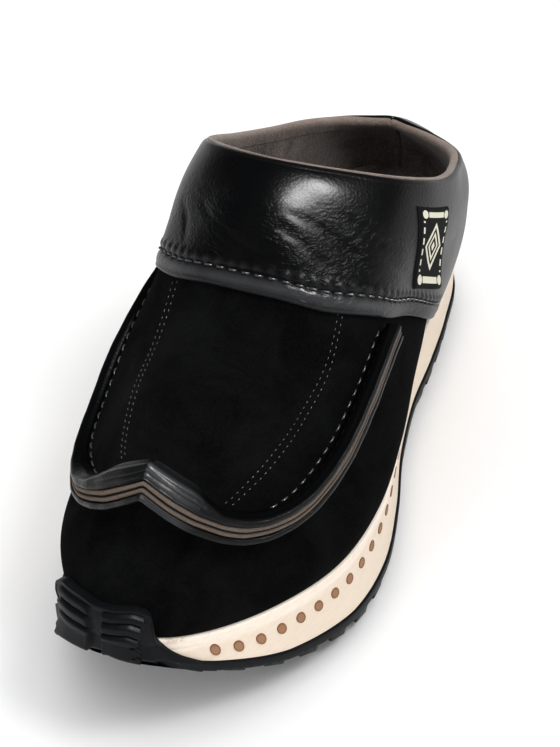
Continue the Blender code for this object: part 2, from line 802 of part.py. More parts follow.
def build():
    for piece in list(bpy.data.objects):
        bpy.data.objects.remove(piece)
    suede = make_material("black_suede", (0.010, 0.010, 0.011), 0.95)
    leather = make_material("black_leather", (0.014, 0.015, 0.017), 0.38)
    raw_edge = make_material("raw_leather_edge", (0.115, 0.078, 0.055), 0.85)
    natural = make_material("natural_leather", (0.87, 0.74, 0.60), 0.60)
    rubber = make_material("black_rubber", (0.020, 0.022, 0.026), 0.62)
    footbed = make_material("grey_suede", (0.105, 0.085, 0.075), 0.95)
    woven = make_material("woven_label", (0.012, 0.013, 0.015), 0.80)
    build_outsole(rubber)
    build_midsole(natural)
    build_insole(footbed)
    build_upper(suede)
    build_collar(leather)
    build_raised_seam(leather, raw_edge)
    build_label(woven)
    centre_on_origin()


build()
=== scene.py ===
"""A left leather mule: suede vamp and apron, turned-up seam, padded collar, wrapped wedge."""

import math

import bmesh
import bpy
import numpy as np
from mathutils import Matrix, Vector


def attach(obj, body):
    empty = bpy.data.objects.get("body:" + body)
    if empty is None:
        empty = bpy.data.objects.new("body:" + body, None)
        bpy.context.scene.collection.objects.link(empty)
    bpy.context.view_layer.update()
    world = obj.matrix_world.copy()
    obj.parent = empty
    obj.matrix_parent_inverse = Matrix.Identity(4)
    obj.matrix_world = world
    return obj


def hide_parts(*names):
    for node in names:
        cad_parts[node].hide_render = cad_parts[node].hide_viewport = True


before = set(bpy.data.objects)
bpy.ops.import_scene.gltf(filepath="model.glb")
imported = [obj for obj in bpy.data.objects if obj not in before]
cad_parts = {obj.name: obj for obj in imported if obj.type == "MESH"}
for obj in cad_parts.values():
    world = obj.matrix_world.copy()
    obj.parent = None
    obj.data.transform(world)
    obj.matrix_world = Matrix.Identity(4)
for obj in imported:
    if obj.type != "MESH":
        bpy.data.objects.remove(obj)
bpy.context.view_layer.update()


# The room: a pale floor under soft lamps, and the camera above the toe, looking down on the outer
# side of the shoe. The walls and lamps that light the matt faces are screened off from the
# leather's gloss, and one lamp on the outer side gives the collar its highlight and nothing else.
ROOM_WHITE = (0.90, 0.90, 0.90)
CAMERA_PLACE = Vector((0.4662, 0.1701, 0.4708))
CAMERA_AIM = Vector((0.0120, 0.0010, 0.0560))
CAMERA_LENS = 82.0
CAMERA_FILM = 36.0
WORLD_STRENGTH = 0.72
VIEW_GAMMA = 0.86
LAMPS = [
    # name, place, aimed at, width, watts, whether it shines in glossy faces only
    ("overhead", (-0.30, 0.00, 4.50), (0.0, 0.0, 0.0), 6.00, 120.0, False),
    ("window", (0.08, 0.66, 1.36), (0.0, 0.0, 0.10), 0.40, 5.5, False),
    ("front_fill", (1.30, -0.70, 0.90), (0.0, 0.0, 0.05), 0.60, 5.5, False),
    ("highlight", (0.13, 0.89, 1.18), (0.0, 0.0, 0.12), 0.42, 48.0, True),
]


def aim(thing, place, target):
    thing.location = place
    thing.rotation_euler = (Vector(target) - Vector(place)).to_track_quat("-Z", "Y").to_euler()


def add_node(tree, kind, inputs=None, **settings):
    """A shader node with its settings; an input is a value or the output that feeds it."""
    made = tree.nodes.new(kind)
    for name, value in settings.items():
        setattr(made, name, value)
    for name, value in (inputs or {}).items():
        if isinstance(value, bpy.types.NodeSocket):
            tree.links.new(value, made.inputs[name])
        else:
            made.inputs[name].default_value = value
    return made


def noise(tree, scale, detail, **more):
    """Cloudy noise between 0 and 1."""
    inputs = {"Scale": scale, "Detail": detail, **more}
    return add_node(tree, "ShaderNodeTexNoise", inputs).outputs["Fac"]


def ranged(tree, value, low, high, start=0.0, end=1.0):
    """The span of a value from low to high, stretched from start to end."""
    inputs = {"Value": value, "From Min": low, "From Max": high, "To Min": start, "To Max": end}
    return add_node(tree, "ShaderNodeMapRange", inputs).outputs[0]


def new_material(name, **values):
    """A material with plain values on its shader. Returns the material, its tree and shader."""
    material = bpy.data.materials.new(name)
    material.use_nodes = True
    shader = material.node_tree.nodes["Principled BSDF"]
    for socket, value in values.items():
        shader.inputs[socket.replace("_", " ")].default_value = value
    return material, material.node_tree, shader


camera = bpy.data.objects.new("camera", bpy.data.cameras.new("camera"))
bpy.context.scene.collection.objects.link(camera)
camera.data.lens = CAMERA_LENS
camera.data.sensor_width = CAMERA_FILM
aim(camera, CAMERA_PLACE, CAMERA_AIM)
bpy.context.scene.camera = camera

for name, place, target, width, watts, shines in LAMPS:
    lamp = bpy.data.objects.new(name, bpy.data.lights.new(name, "AREA"))
    lamp.data.size = width
    lamp.data.energy = watts
    lamp.visible_glossy = shines
    lamp.visible_diffuse = not shines
    bpy.context.scene.collection.objects.link(lamp)
    aim(lamp, place, target)

world = bpy.data.worlds.new("studio")
world.use_nodes = True
background = world.node_tree.nodes["Background"].inputs
background["Color"].default_value = (*ROOM_WHITE, 1.0)
background["Strength"].default_value = WORLD_STRENGTH
bpy.context.scene.world = world
world.cycles_visibility.glossy = False
bpy.context.scene.view_settings.view_transform = "Standard"
bpy.context.scene.view_settings.gamma = VIEW_GAMMA

floor_mesh = bpy.data.meshes.new("floor")
floor_mesh.from_pydata([(-6, -6, 0), (6, -6, 0), (6, 6, 0), (-6, 6, 0)], [], [(0, 1, 2, 3)])
floor = bpy.data.objects.new("floor", floor_mesh)
bpy.context.scene.collection.objects.link(floor)
floor_paint, tree, shader = new_material("floor_paint", Roughness=0.9)
mottle = noise(tree, 2.0, 3.0)
tree.links.new(ranged(tree, mottle, 0.0, 1.0, 0.86, 0.90), shader.inputs["Base Color"])
floor_mesh.materials.append(floor_paint)


# Wedge of the sole: a light foam core wrapped in undyed leather, drawn round the last's edge.
# It is high at the heel, thin at the toe, hollowed at the waist, and its top edge is turned in
# and pressed. Everything above it is lasted to that edge, so the shoe's outline starts here.
LENGTH = 0.290
BALL_WIDTH = 0.099
HEEL_HEIGHT = 0.0508
BALL_HEIGHT = 0.0332
TOE_RISE = 0.0188
SOLE_UNDER_BALL = 0.0083
HEEL_BEVEL = 0.0137
TOE_SPRING = 0.0370
SOLE_FLARE = 0.0056
SHOE_PLACE = np.array([-0.144643, 0.000687, 0.0])
SOLE_SECTIONS = [
    # x, lateral, medial, flare, back, front, bevel, spring, tread
    (0.000, 0.000, 0.000, 0.90, 1.00, 0.00, 1.00, 0.00, 0.85),
    (0.020, 0.194, 0.167, 0.35, 0.97, 0.00, 0.62, 0.00, 0.70),
    (0.070, 0.327, 0.272, -0.20, 0.93, 0.00, 0.30, 0.00, 0.25),
    (0.160, 0.389, 0.283, -0.50, 0.84, 0.00, 0.18, 0.00, 0.00),
    (0.260, 0.417, 0.241, -0.60, 0.77, 0.00, 0.16, 0.00, 0.00),
    (0.360, 0.423, 0.219, -0.55, 0.73, 0.00, 0.14, 0.00, 1.20),
    (0.460, 0.458, 0.271, -0.45, 0.58, 0.00, 0.07, 0.00, 0.00),
    (0.560, 0.505, 0.384, 0.00, 0.31, 0.00, 0.00, 0.00, 0.00),
    (0.660, 0.524, 0.475, 0.50, 0.04, 0.02, 0.00, 0.02, 0.00),
    (0.760, 0.480, 0.488, 0.90, 0.00, 0.01, 0.00, 0.11, 0.90),
    (0.860, 0.351, 0.422, 1.00, 0.00, 0.19, 0.00, 0.32, 1.00),
    (0.940, 0.183, 0.316, 0.70, 0.00, 0.44, 0.00, 0.64, 1.00),
    (0.985, 0.049, 0.207, 0.40, 0.00, 0.75, 0.00, 0.91, 1.00),
    (1.000, -0.073, 0.073, 0.10, 0.00, 1.00, 0.00, 1.00, 1.00),
]
TOE = len(SOLE_SECTIONS) - 1
ROUND = 2 * TOE
STEP = 0.02
UP = np.array([0.0, 0.0, 1.0])


def unit(vectors):
    return vectors / np.maximum(np.linalg.norm(vectors, axis=-1, keepdims=True), 1e-12)


def blend(start, end, value):
    """Smooth step from 0 at start to 1 at end."""
    t = np.clip((np.asarray(value, dtype=float) - start) / (end - start), 0.0, 1.0)
    return t * t * (3.0 - 2.0 * t)


def bell(value, centre, width):
    """Soft ridge of height 1 at the centre."""
    return np.exp(-((np.asarray(value, dtype=float) - centre) / width) ** 2)


def hermite(start, end, start_pull, end_pull, t):
    return (start * (2 * t**3 - 3 * t**2 + 1) + end * (3 * t**2 - 2 * t**3)
            + start_pull * (t**3 - 2 * t**2 + t) + end_pull * (t**3 - t**2))


def curve_through(points, closed):
    """Smooth curve through the points, read at any places between them."""
    points = np.asarray(points, dtype=float)
    count = len(points)
    ends = np.vstack([2.0 * points[0] - points[1], points, 2.0 * points[-1] - points[-2]])

    def read(place):
        place = np.asarray(place, dtype=float)
        i = np.floor(place).astype(int)
        if closed:
            p0, p1, p2, p3 = (points[(i + step) % count] for step in (-1, 0, 1, 2))
        else:
            i = np.clip(i, 0, count - 2)
            p0, p1, p2, p3 = (ends[i + step] for step in (0, 1, 2, 3))
        d1, d2, d3 = (np.sqrt(np.linalg.norm(b - a, axis=-1, keepdims=True) + 1e-9)
                      for a, b in ((p0, p1), (p1, p2), (p2, p3)))
        start_pull = ((p1 - p0) / d1 - (p2 - p0) / (d1 + d2) + (p2 - p1) / d2) * d2
        end_pull = ((p2 - p1) / d2 - (p3 - p1) / (d2 + d3) + (p3 - p2) / d3) * d2
        return hermite(p1, p2, start_pull, end_pull, (place - i)[..., None])

    return read


def ring(rows):
    """Closed line round the shoe from rows of (x, lateral y, medial y, z), heel to toe."""
    lateral = [(x, left, z) for x, left, right, z in rows]
    medial = [(x, right, z) for x, left, right, z in rows]
    return curve_through(np.array(lateral + medial[-2:0:-1]) + SHOE_PLACE, True)


def outward(line, walk):
    """Level direction out of the shoe, square to a ring."""
    along = line(walk + STEP) - line(walk - STEP)
    return unit(np.stack([-along[..., 1], along[..., 0], 0.0 * along[..., 0]], axis=-1))


def station_of(walk):
    walk = np.asarray(walk, dtype=float) % ROUND
    return np.minimum(walk, ROUND - walk)


def midsole_top(row):
    return BALL_HEIGHT + (HEEL_HEIGHT - BALL_HEIGHT) * row[4] + TOE_RISE * row[5]


def foot_rise(row):
    return HEEL_BEVEL * row[6] + TOE_SPRING * row[7]


top_edge = ring([(row[0] * LENGTH, row[1] * BALL_WIDTH, -row[2] * BALL_WIDTH, midsole_top(row))
                 for row in SOLE_SECTIONS])
flare_at = curve_through([(row[3] * SOLE_FLARE,) for row in SOLE_SECTIONS], False)
rise_at = curve_through([(foot_rise(row),) for row in SOLE_SECTIONS], False)
tread_at = curve_through([(foot_rise(row) * row[8],) for row in SOLE_SECTIONS], False)


def foot_edge(walk):
    """Lower edge of the wedge, flared out from its top edge."""
    station = station_of(walk)
    point = top_edge(walk) + outward(top_edge, walk) * flare_at(station)
    point[..., 2] = SOLE_UNDER_BALL + rise_at(station)[..., 0]
    return point


def turn_outwards(mesh, welded):
    """Faces turned outwards and shaded smooth, after points that meet are welded if asked."""
    bm = bmesh.new()
    bm.from_mesh(mesh)
    if welded:
        bmesh.ops.remove_doubles(bm, verts=bm.verts[:], dist=2e-6)
        bmesh.ops.dissolve_degenerate(bm, edges=bm.edges[:], dist=1e-7)
    bmesh.ops.recalc_face_normals(bm, faces=bm.faces[:])
    bm.to_mesh(mesh)
    bm.free()
    mesh.shade_smooth()


def make_piece(name, sheets, material, replaced=(), masks=None, sharp=50.0):
    """One piece from sheets of points that are welded where they meet. A mask gives each sheet
    one number, or a number for every point, which the material reads by name."""
    sizes = [sheet.shape[0] * sheet.shape[1] for sheet in sheets]
    faces = []
    for sheet, start in zip(sheets, np.cumsum([0] + sizes)):
        index = np.arange(sheet.shape[0] * sheet.shape[1]).reshape(sheet.shape[:2]) + start
        corners = (index[:-1, :-1], index[1:, :-1], index[1:, 1:], index[:-1, 1:])
        faces.append(np.stack(corners, axis=-1).reshape(-1, 4))
    mesh = bpy.data.meshes.new(name)
    points = np.vstack([sheet.reshape(-1, 3) for sheet in sheets])
    mesh.from_pydata(points.tolist(), [], np.vstack(faces).tolist())
    for mask, values in (masks or {}).items():
        layer = mesh.attributes.new(mask, "FLOAT", "POINT")
        numbers = [np.broadcast_to(value, sheet.shape[:2]).ravel() for value, sheet in zip(values, sheets)]
        layer.data.foreach_set("value", np.concatenate(numbers).astype(np.float32))
    turn_outwards(mesh, welded=True)
    mesh.set_sharp_from_angle(angle=math.radians(sharp))
    return place_piece(name, mesh, material, replaced)


def place_piece(name, mesh, material, replaced=()):
    mesh.materials.append(material)
    piece = bpy.data.objects.new(name, mesh)
    bpy.context.scene.collection.objects.link(piece)
    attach(piece, "root")
    if replaced:
        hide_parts(*replaced)
    return piece


def new_group(name, inputs, outputs):
    """A shader node group with named number and colour inputs. Returns the tree and its ends."""
    tree = bpy.data.node_groups.new(name, "ShaderNodeTree")
    for title, value in inputs.items():
        kind = "NodeSocketColor" if isinstance(value, tuple) else "NodeSocketFloat"
        socket = tree.interface.new_socket(name=title, in_out="INPUT", socket_type=kind)
        socket.default_value = value
    for title, kind in outputs.items():
        tree.interface.new_socket(name=title, in_out="OUTPUT", socket_type="NodeSocket" + kind)
    return tree, tree.nodes.new("NodeGroupInput").outputs, tree.nodes.new("NodeGroupOutput").inputs


def dress(tree, shader, group, **inputs):
    """Feeds a shader with the colour, roughness and bump that a group works out."""
    titles = {title.replace("_", " "): value for title, value in inputs.items()}
    for output in add_node(tree, "ShaderNodeGroup", titles, node_tree=group).outputs:
        socket = "Base Color" if output.name == "Color" else output.name
        tree.links.new(output, shader.inputs[socket])


def read_mask(tree, name):
    return add_node(tree, "ShaderNodeAttribute", attribute_name=name).outputs["Fac"]


def mix_color(tree, factor, first, second):
    inputs = {0: factor, 6: first, 7: second}
    return add_node(tree, "ShaderNodeMix", inputs, data_type="RGBA").outputs[2]


def calculate(tree, operation, first, second=0.0, clamp=False):
    inputs = {0: first, 1: second}
    return add_node(tree, "ShaderNodeMath", inputs, operation=operation, use_clamp=clamp).outputs[0]


def raised(tree, height, distance, strength=1.0):
    """Bump of a surface from a height between 0 and 1."""
    inputs = {"Height": height, "Distance": distance, "Strength": strength}
    return add_node(tree, "ShaderNodeBump", inputs).outputs["Normal"]


# The grain of tanned leather: rounded cells between fine pores, with a slow change of tone.
grain, given, result = new_group(
    "leather_grain",
    {"Cell": 900.0, "Depth": 0.2, "Wrinkle": 0.0, "Tone": (0.5, 0.5, 0.5, 1.0),
     "Worn": (0.6, 0.6, 0.6, 1.0), "Wear": 0.0, "Gloss": 0.4, "Gloss change": 0.1},
    {"Color": "Color", "Roughness": "Float", "Normal": "Vector"})
spot = add_node(grain, "ShaderNodeTexCoord").outputs["Object"]
cells = add_node(grain, "ShaderNodeTexVoronoi", {"Vector": spot, "Scale": given["Cell"]},
                 feature="SMOOTH_F1")
fold_place = add_node(grain, "ShaderNodeMapping", {"Vector": spot, "Scale": (1.0, 0.55, 1.6)})
folds = noise(grain, 260.0, 4.0, Vector=fold_place.outputs[0], Distortion=0.9)
slow = noise(grain, 38.0, 4.0, Vector=spot)
ridged = calculate(grain, "ABSOLUTE", calculate(grain, "SUBTRACT", folds, 0.5))
relief = calculate(grain, "ADD", calculate(grain, "MULTIPLY", cells.outputs["Distance"], given["Depth"]),
                   calculate(grain, "MULTIPLY", ridged, given["Wrinkle"]))
worn = calculate(grain, "MULTIPLY", given["Wear"], slow, clamp=True)
grain.links.new(mix_color(grain, worn, given["Tone"], given["Worn"]), result["Color"])
change = calculate(grain, "MULTIPLY", calculate(grain, "SUBTRACT", slow, 0.5), given["Gloss change"])
grain.links.new(calculate(grain, "ADD", given["Gloss"], change), result["Roughness"])
grain.links.new(raised(grain, relief, 0.0006), result["Normal"])

WEDGE_CREAM = (0.855, 0.745, 0.625, 1.0)
WEDGE_SOILED = (0.52, 0.36, 0.25, 1.0)
WEDGE_TURNED = (0.95, 0.86, 0.76, 1.0)
wedge_leather, tree, shader = new_material("natural_leather", Specular_IOR_Level=0.35)
soil = ranged(tree, noise(tree, 55.0, 6.0, Roughness=0.62), 0.42, 0.72)
smudge = calculate(tree, "MULTIPLY", read_mask(tree, "smudge"), soil)
plain = mix_color(tree, read_mask(tree, "turned"), WEDGE_CREAM, WEDGE_TURNED)
tone = mix_color(tree, smudge, plain, WEDGE_SOILED)
dress(tree, shader, grain, Tone=tone, Worn=WEDGE_SOILED, Wear=0.10, Cell=1500.0, Depth=0.10,
      Gloss=0.52, Gloss_change=0.15)

walks = np.linspace(0.0, ROUND, 521)
shares = np.concatenate([np.linspace(0.0, 0.86, 15), np.linspace(0.88, 1.0, 13)])
walk_grid, share_grid = np.meshgrid(walks, shares, indexing="ij")
EDGE_ROUND = 0.0011
WAIST_HOLLOW = 0.0030
TURNED_IN = 0.0034
TURNED_FADES = 0.0042
PRESSED_DEPTH = 0.00035


def wedge_side(walk, share):
    """Point on the wedge's side: share is 0 at the lower edge and 1 at the top edge."""
    walk, share = np.broadcast_arrays(np.asarray(walk, dtype=float), np.asarray(share, dtype=float))
    low, high = foot_edge(walk), top_edge(walk)
    below = (high - low)[..., 2] * (1.0 - share)
    waist = bell(station_of(walk), 5.0, 2.2) * np.sin(math.pi * share) * WAIST_HOLLOW
    rounding = EDGE_ROUND - np.sqrt(np.maximum(EDGE_ROUND**2 - np.clip(EDGE_ROUND - below, 0.0, None)**2, 0.0))
    pressed = bell(below, TURNED_IN, 0.0004) * PRESSED_DEPTH
    inward = (waist + rounding + pressed)[..., None]
    return low + (high - low) * share[..., None] - outward(top_edge, walk) * inward


below_top = (top_edge(walk_grid) - foot_edge(walk_grid))[..., 2] * (1.0 - share_grid)
side = wedge_side(walk_grid, share_grid)
rim = top_edge(walks)
inset = [rim - outward(top_edge, walks) * depth for depth in (EDGE_ROUND, 0.004, 0.008)]
top_sheet = np.stack([side[:, -1]] + inset, axis=1)
foot_in = [foot_edge(walks) - outward(top_edge, walks) * depth for depth in (0.0, 0.006)]
smudged = bell(walk_grid, 11.62, 0.16) * blend(0.6, 0.9, share_grid) + 0.12
turned = blend(TURNED_FADES, TURNED_IN, below_top)
make_piece("wedge", [side, top_sheet, np.stack(foot_in, axis=1)], wedge_leather,
           ["midsole"], {"smudge": [smudged, 0.0, 0.0], "turned": [turned, 1.0, 0.0]})


# Outsole: one moulding of black rubber, cemented under the wedge. A thin plate carries square
# lugs round its edge and two slanted rows down its middle, and the rubber runs up over the toe
# as a bumper with two ribbed pads.
GAP = 0.0003
SOLE_LIP = 0.0010
PLATE = 0.0036
LUG_LENGTH = 0.0095
LUG_PITCH = 0.0155
LUG_DEPTH = 0.0110
LUG_TAPER = 0.0012
LUG_NARROWING = 0.85
LUG_ROUND = 0.0007
LUG_LIFTS = (0.0026, 0.0018)
TOE_TUCK = 0.0050
MID_LUG_LENGTH = 0.0080
MID_LUG_PITCH = 0.0165
MID_LUG_SKEW = 0.0040
MID_LUG_SPACE = 0.0035
MID_LUG_SHORTEST = 0.0048
RUBBER_BLACK = (0.0060, 0.0068, 0.0084, 1.0)
RUBBER_DUSTY = (0.026, 0.028, 0.032, 1.0)

rubber, tree, shader = new_material("black_rubber", Specular_IOR_Level=0.16)
dusty = ranged(tree, noise(tree, 70.0, 5.0, Roughness=0.6), 0.48, 0.80, 0.0, 0.45)
dress(tree, shader, grain, Tone=mix_color(tree, dusty, RUBBER_BLACK, RUBBER_DUSTY), Worn=RUBBER_DUSTY,
      Wear=0.05, Cell=2600.0, Depth=0.05, Gloss=0.46, Gloss_change=0.25)


def ground_edge(walk):
    """Outline of the rubber, a lip wider than the wedge's lower edge."""
    return foot_edge(walk) + outward(top_edge, walk) * SOLE_LIP - UP * GAP


def across_sheet(read, stations, divisions):
    """Sheet that spans a ring from side to side."""
    left, right = read(stations), read(ROUND - stations)
    parts = np.linspace(0.0, 1.0, divisions + 1)
    return left[:, None] + (right - left)[:, None] * parts[None, :, None]


def lowered(read, drop):
    return lambda walk: read(walk) - UP * drop


walks = np.linspace(0.0, ROUND, 417)
stations = np.linspace(0.0, TOE, 105)
out = outward(top_edge, walks)
edge = ground_edge(walks) - out * (TOE_TUCK * blend(11.6, 12.6, station_of(walks)))[:, None]
wall_rows = [(-0.0060, 0.0), (-0.0008, 0.0), (-0.0002, 0.0002), (0.0, 0.0008), (0.0, 0.0028), (0.0, PLATE)]
plate_wall = np.stack([edge + out * shift - UP * drop for shift, drop in wall_rows], axis=1)
make_piece("tread_plate", [plate_wall, across_sheet(lowered(ground_edge, PLATE), stations, 8)],
           rubber)

def lengths_along(points, axis=0):
    """Length from the first point to each point along one axis of a grid."""
    steps = np.linalg.norm(np.diff(points, axis=axis), axis=-1)
    return np.concatenate([0.0 * np.take(steps, [0], axis=axis), np.cumsum(steps, axis=axis)], axis=axis)


line_stations = np.linspace(0.0, TOE, 521)
line_x = ground_edge(line_stations)[:, 0]


def lug_block(corners):
    """Eight corners of a lug, narrower at its foot, from inside the plate down to the tread."""
    corners = np.array(corners)
    station = np.interp(corners[:, 0], line_x, line_stations)
    centre = corners.mean(axis=0)
    foot = corners - unit(corners - centre) * LUG_TAPER
    top = corners.copy()
    top[:, 2] = SOLE_UNDER_BALL + rise_at(station)[:, 0] - GAP - PLATE * 0.5
    foot[:, 2] = np.maximum(tread_at(station)[:, 0], 0.0)
    foot[:, 2] += LUG_LIFTS[0] * blend(8.6, 11.0, station) + LUG_LIFTS[1] * blend(11.2, 12.6, station)
    return np.vstack([top, foot])


blocks = []
fine_walks = np.linspace(0.0, ROUND, 1041)
line = ground_edge(fine_walks) * [1.0, 1.0, 0.0]
lengths = lengths_along(line)
count = round(lengths[-1] / LUG_PITCH)
for k in range(count):
    centre = (k + 0.5) * lengths[-1] / count
    ends = np.interp([centre - LUG_LENGTH / 2.0, centre + LUG_LENGTH / 2.0], lengths, fine_walks)
    outer = ground_edge(ends) * [1.0, 1.0, 0.0]
    inner = (outer - outward(ground_edge, ends) * LUG_DEPTH)[::-1]
    inner = inner.mean(axis=0) + (inner - inner.mean(axis=0)) * LUG_NARROWING
    blocks.append(lug_block([*outer, *inner]))

start = LUG_DEPTH + MID_LUG_SPACE + MID_LUG_LENGTH
count = int((LENGTH - 2.0 * start) / MID_LUG_PITCH)
half = MID_LUG_LENGTH / 2.0
for k in range(count):
    x = SHOE_PLACE[0] + start + (k + 0.5) * (LENGTH - 2.0 * start) / count
    station = np.interp(x, line_x, line_stations)
    middle = (ground_edge(station)[1] + ground_edge(ROUND - station)[1]) / 2.0
    for side in (1.0, -1.0):
        reaches = []
        for end in np.interp([x - half - MID_LUG_SKEW, x + half], line_x, line_stations):
            walk = end if side > 0.0 else ROUND - end
            depth = LUG_DEPTH / abs(outward(ground_edge, walk)[1])
            reaches.append((ground_edge(walk)[1] - middle) * side - depth)
        near = middle + side * MID_LUG_SPACE / 2.0
        far = middle + side * (min(reaches) - MID_LUG_SPACE)
        if (far - near) * side >= MID_LUG_SHORTEST:
            blocks.append(lug_block([(x - half, near, 0.0), (x + half, near, 0.0),
                                     (x + half - MID_LUG_SKEW, far, 0.0),
                                     (x - half - MID_LUG_SKEW, far, 0.0)]))

lug_faces = [(0, 1, 2, 3), (7, 6, 5, 4)] + [(i, i + 4, (i + 1) % 4 + 4, (i + 1) % 4) for i in range(4)]
lug_mesh = bpy.data.meshes.new("lugs")
lug_mesh.from_pydata(np.vstack(blocks).tolist(), [],
                     [tuple(corner + 8 * k for corner in face) for k in range(len(blocks)) for face in lug_faces])
turn_outwards(lug_mesh, welded=False)
lugs = place_piece("lugs", lug_mesh, rubber)
soften = lugs.modifiers.new("moulded_edges", "BEVEL")
soften.width = LUG_ROUND
soften.segments = 2
soften.harden_normals = False


# Footbed: a moulded foam insole faced with grey-brown suede. It is dished under the heel and
# stands up a little against the lining all round.
LEDGE = 0.0010
WALL = 0.0020
COLLAR_WALL = 0.0026
SKIN_GAP = 0.0005
INSOLE_THICKNESS = 0.0040
COLLAR_STANDS = 4.2
COLLAR_LEAVES = 5.6
SUEDE_BROWN = (0.038, 0.029, 0.025, 1.0)
SUEDE_BRUSHED = (0.250, 0.200, 0.175, 1.0)
# The shade tones are painted shade: the suede is darkened towards them where the shade mask is set.
SHADE_BROWN = (0.035, 0.027, 0.023, 1.0)
SHADE_BRUSHED = (0.075, 0.058, 0.050, 1.0)
CUT_BROWN = (0.21, 0.165, 0.14, 1.0)
CUT_BRUSHED = (0.33, 0.27, 0.235, 1.0)
BED_RIM = 0.0016
BED_HOLLOW = 0.0012
BED_OVAL = 0.0005

# Suede: short nap that lies in patches, lighter where it has been brushed up, with single
# pale fibres.
nap, given, result = new_group(
    "suede_nap",
    {"Deep": (0.01, 0.01, 0.01, 1.0), "Brushed": (0.03, 0.03, 0.03, 1.0), "Patch": 60.0, "Fibre": 1400.0,
     "Amount": 0.5, "Depth": 0.3},
    {"Color": "Color", "Normal": "Vector"})
spot = add_node(nap, "ShaderNodeTexCoord").outputs["Object"]
patches = noise(nap, given["Patch"], 6.0, Vector=spot, Roughness=0.65, Distortion=0.6)
fibres = noise(nap, given["Fibre"], 3.0, Vector=spot)
lying = calculate(nap, "MULTIPLY", ranged(nap, patches, 0.38, 0.68), 0.65)
standing = calculate(nap, "MULTIPLY", ranged(nap, fibres, 0.40, 0.75), 0.45)
share = calculate(nap, "MULTIPLY", calculate(nap, "ADD", lying, standing), given["Amount"], clamp=True)
nap.links.new(mix_color(nap, share, given["Deep"], given["Brushed"]), result["Color"])
relief = calculate(nap, "ADD", *(calculate(nap, "MULTIPLY", height, given["Depth"]) for height in (fibres, patches)))
nap.links.new(raised(nap, relief, 0.0007), result["Normal"])

brown_suede, tree, shader = new_material("grey_suede", Roughness=0.95, Specular_IOR_Level=0.2,
                                         Sheen_Weight=0.25, Sheen_Roughness=0.5)
# Painted shade from the shade mask, mixed into both suede tones.
shade_share = calculate(tree, "MULTIPLY", read_mask(tree, "shade"), 0.75, clamp=True)
deep = mix_color(tree, shade_share, SUEDE_BROWN, SHADE_BROWN)
brushed = mix_color(tree, shade_share, SUEDE_BRUSHED, SHADE_BRUSHED)
cut = read_mask(tree, "cut_edge")
dress(tree, shader, nap, Deep=mix_color(tree, cut, deep, CUT_BROWN),
      Brushed=mix_color(tree, cut, brushed, CUT_BRUSHED), Patch=48.0, Fibre=1100.0, Amount=1.0, Depth=0.55)


def collar_room(walk):
    """How far the heel cup is drawn in, so that the collar stays inside the sole's edge."""
    return (COLLAR_WALL + SKIN_GAP) * blend(COLLAR_LEAVES, COLLAR_STANDS, station_of(walk))


def insole_edge(walk):
    inset = LEDGE + collar_room(walk) + WALL + SKIN_GAP
    return top_edge(walk) - outward(top_edge, walk) * inset[..., None]


stations = np.linspace(0.0, TOE, 131)
bed = across_sheet(lowered(insole_edge, -GAP - INSOLE_THICKNESS), stations, 40)
from_edge = np.sin(math.pi * np.linspace(0.0, 1.0, 41))[None, :] * np.ones((len(stations), 1))
end_fade = np.minimum(blend(0.0, 2.0, stations), blend(13.0, 11.5, stations))[:, None]
dish = (1.0 - from_edge) ** 2 * BED_RIM * end_fade - from_edge * BED_HOLLOW * bell(stations, 3.0, 2.2)[:, None]
oval = bell(from_edge, 0.42, 0.10) * bell(stations, 2.6, 1.8)[:, None]
bed[..., 2] += dish + oval * BED_OVAL
skirt = np.stack([insole_edge(np.linspace(0.0, ROUND, 261)) + UP * (GAP + rise)
                  for rise in (0.0, INSOLE_THICKNESS * 0.5, INSOLE_THICKNESS)], axis=1)
# Painted shade at the heel end of the footbed, under the back of the heel cup, and a darker oval ring round the heel
# seat.
bed_shade = oval * 0.6 + bell(stations, 0.0, 0.8)[:, None] * 0.5
footbed = make_piece("footbed", [bed, skirt], brown_suede, ["insole"],
                     {"shade": [bed_shade, 0.0], "cut_edge": [0.0, 0.0]})


# Upper: vamp and apron of black suede, stretched over the last and lasted to the wedge, with the
# heel cup cut in one with the vamp. A place on it is a pair of numbers: walk counts stations
# round the shoe, and level is 0 at the sole, 1 at the seam and 2 at the top line or instep.
SEAM_WIDTH = 0.090
THROAT_WIDTH = 0.083
SEAM_HEIGHT = 0.048
COLLAR_HEIGHT = 0.1117
VAMP_LEAN = 24.23
CREASE_STARTS = 5.0
CREASE_FULL = 7.5
ARCH_STARTS = 6.0
SMOOTH_PULL = 0.66
ARCH_PULL = 1.10
TOE_FULLNESS = 0.0042
SEAM_SECTIONS = [
    # x, lateral, medial, up
    (0.012, 0.000, 0.000, 0.32),
    (0.030, 0.180, 0.150, 0.34),
    (0.078, 0.315, 0.270, 0.38),
    (0.160, 0.410, 0.345, 0.48),
    (0.255, 0.445, 0.390, 0.62),
    (0.352, 0.455, 0.435, 0.80),
    (0.452, 0.425, 0.485, 1.00),
    (0.546, 0.430, 0.525, 1.00),
    (0.642, 0.430, 0.545, 0.92),
    (0.731, 0.410, 0.522, 0.80),
    (0.810, 0.345, 0.467, 0.69),
    (0.862, 0.228, 0.356, 0.66),
    (0.890, 0.094, 0.206, 0.73),
    (0.902, -0.050, 0.050, 0.83),
]
CROWN_SECTIONS = [
    # x, lateral, medial, up
    (0.034, 0.000, 0.000, 0.235),
    (0.049, 0.150, 0.130, 0.240),
    (0.085, 0.290, 0.260, 0.255),
    (0.156, 0.435, 0.370, 0.310),
    (0.246, 0.490, 0.435, 0.380),
    (0.335, 0.505, 0.505, 0.480),
    (0.431, 0.480, 0.530, 0.600),
    (0.510, 0.420, 0.500, 0.680),
    (0.580, 0.330, 0.415, 0.670),
    (0.670, 0.250, 0.350, 0.560),
    (0.752, 0.205, 0.300, 0.520),
    (0.822, 0.135, 0.235, 0.455),
    (0.872, 0.040, 0.145, 0.400),
    (0.902, -0.054, 0.054, 0.357),
]
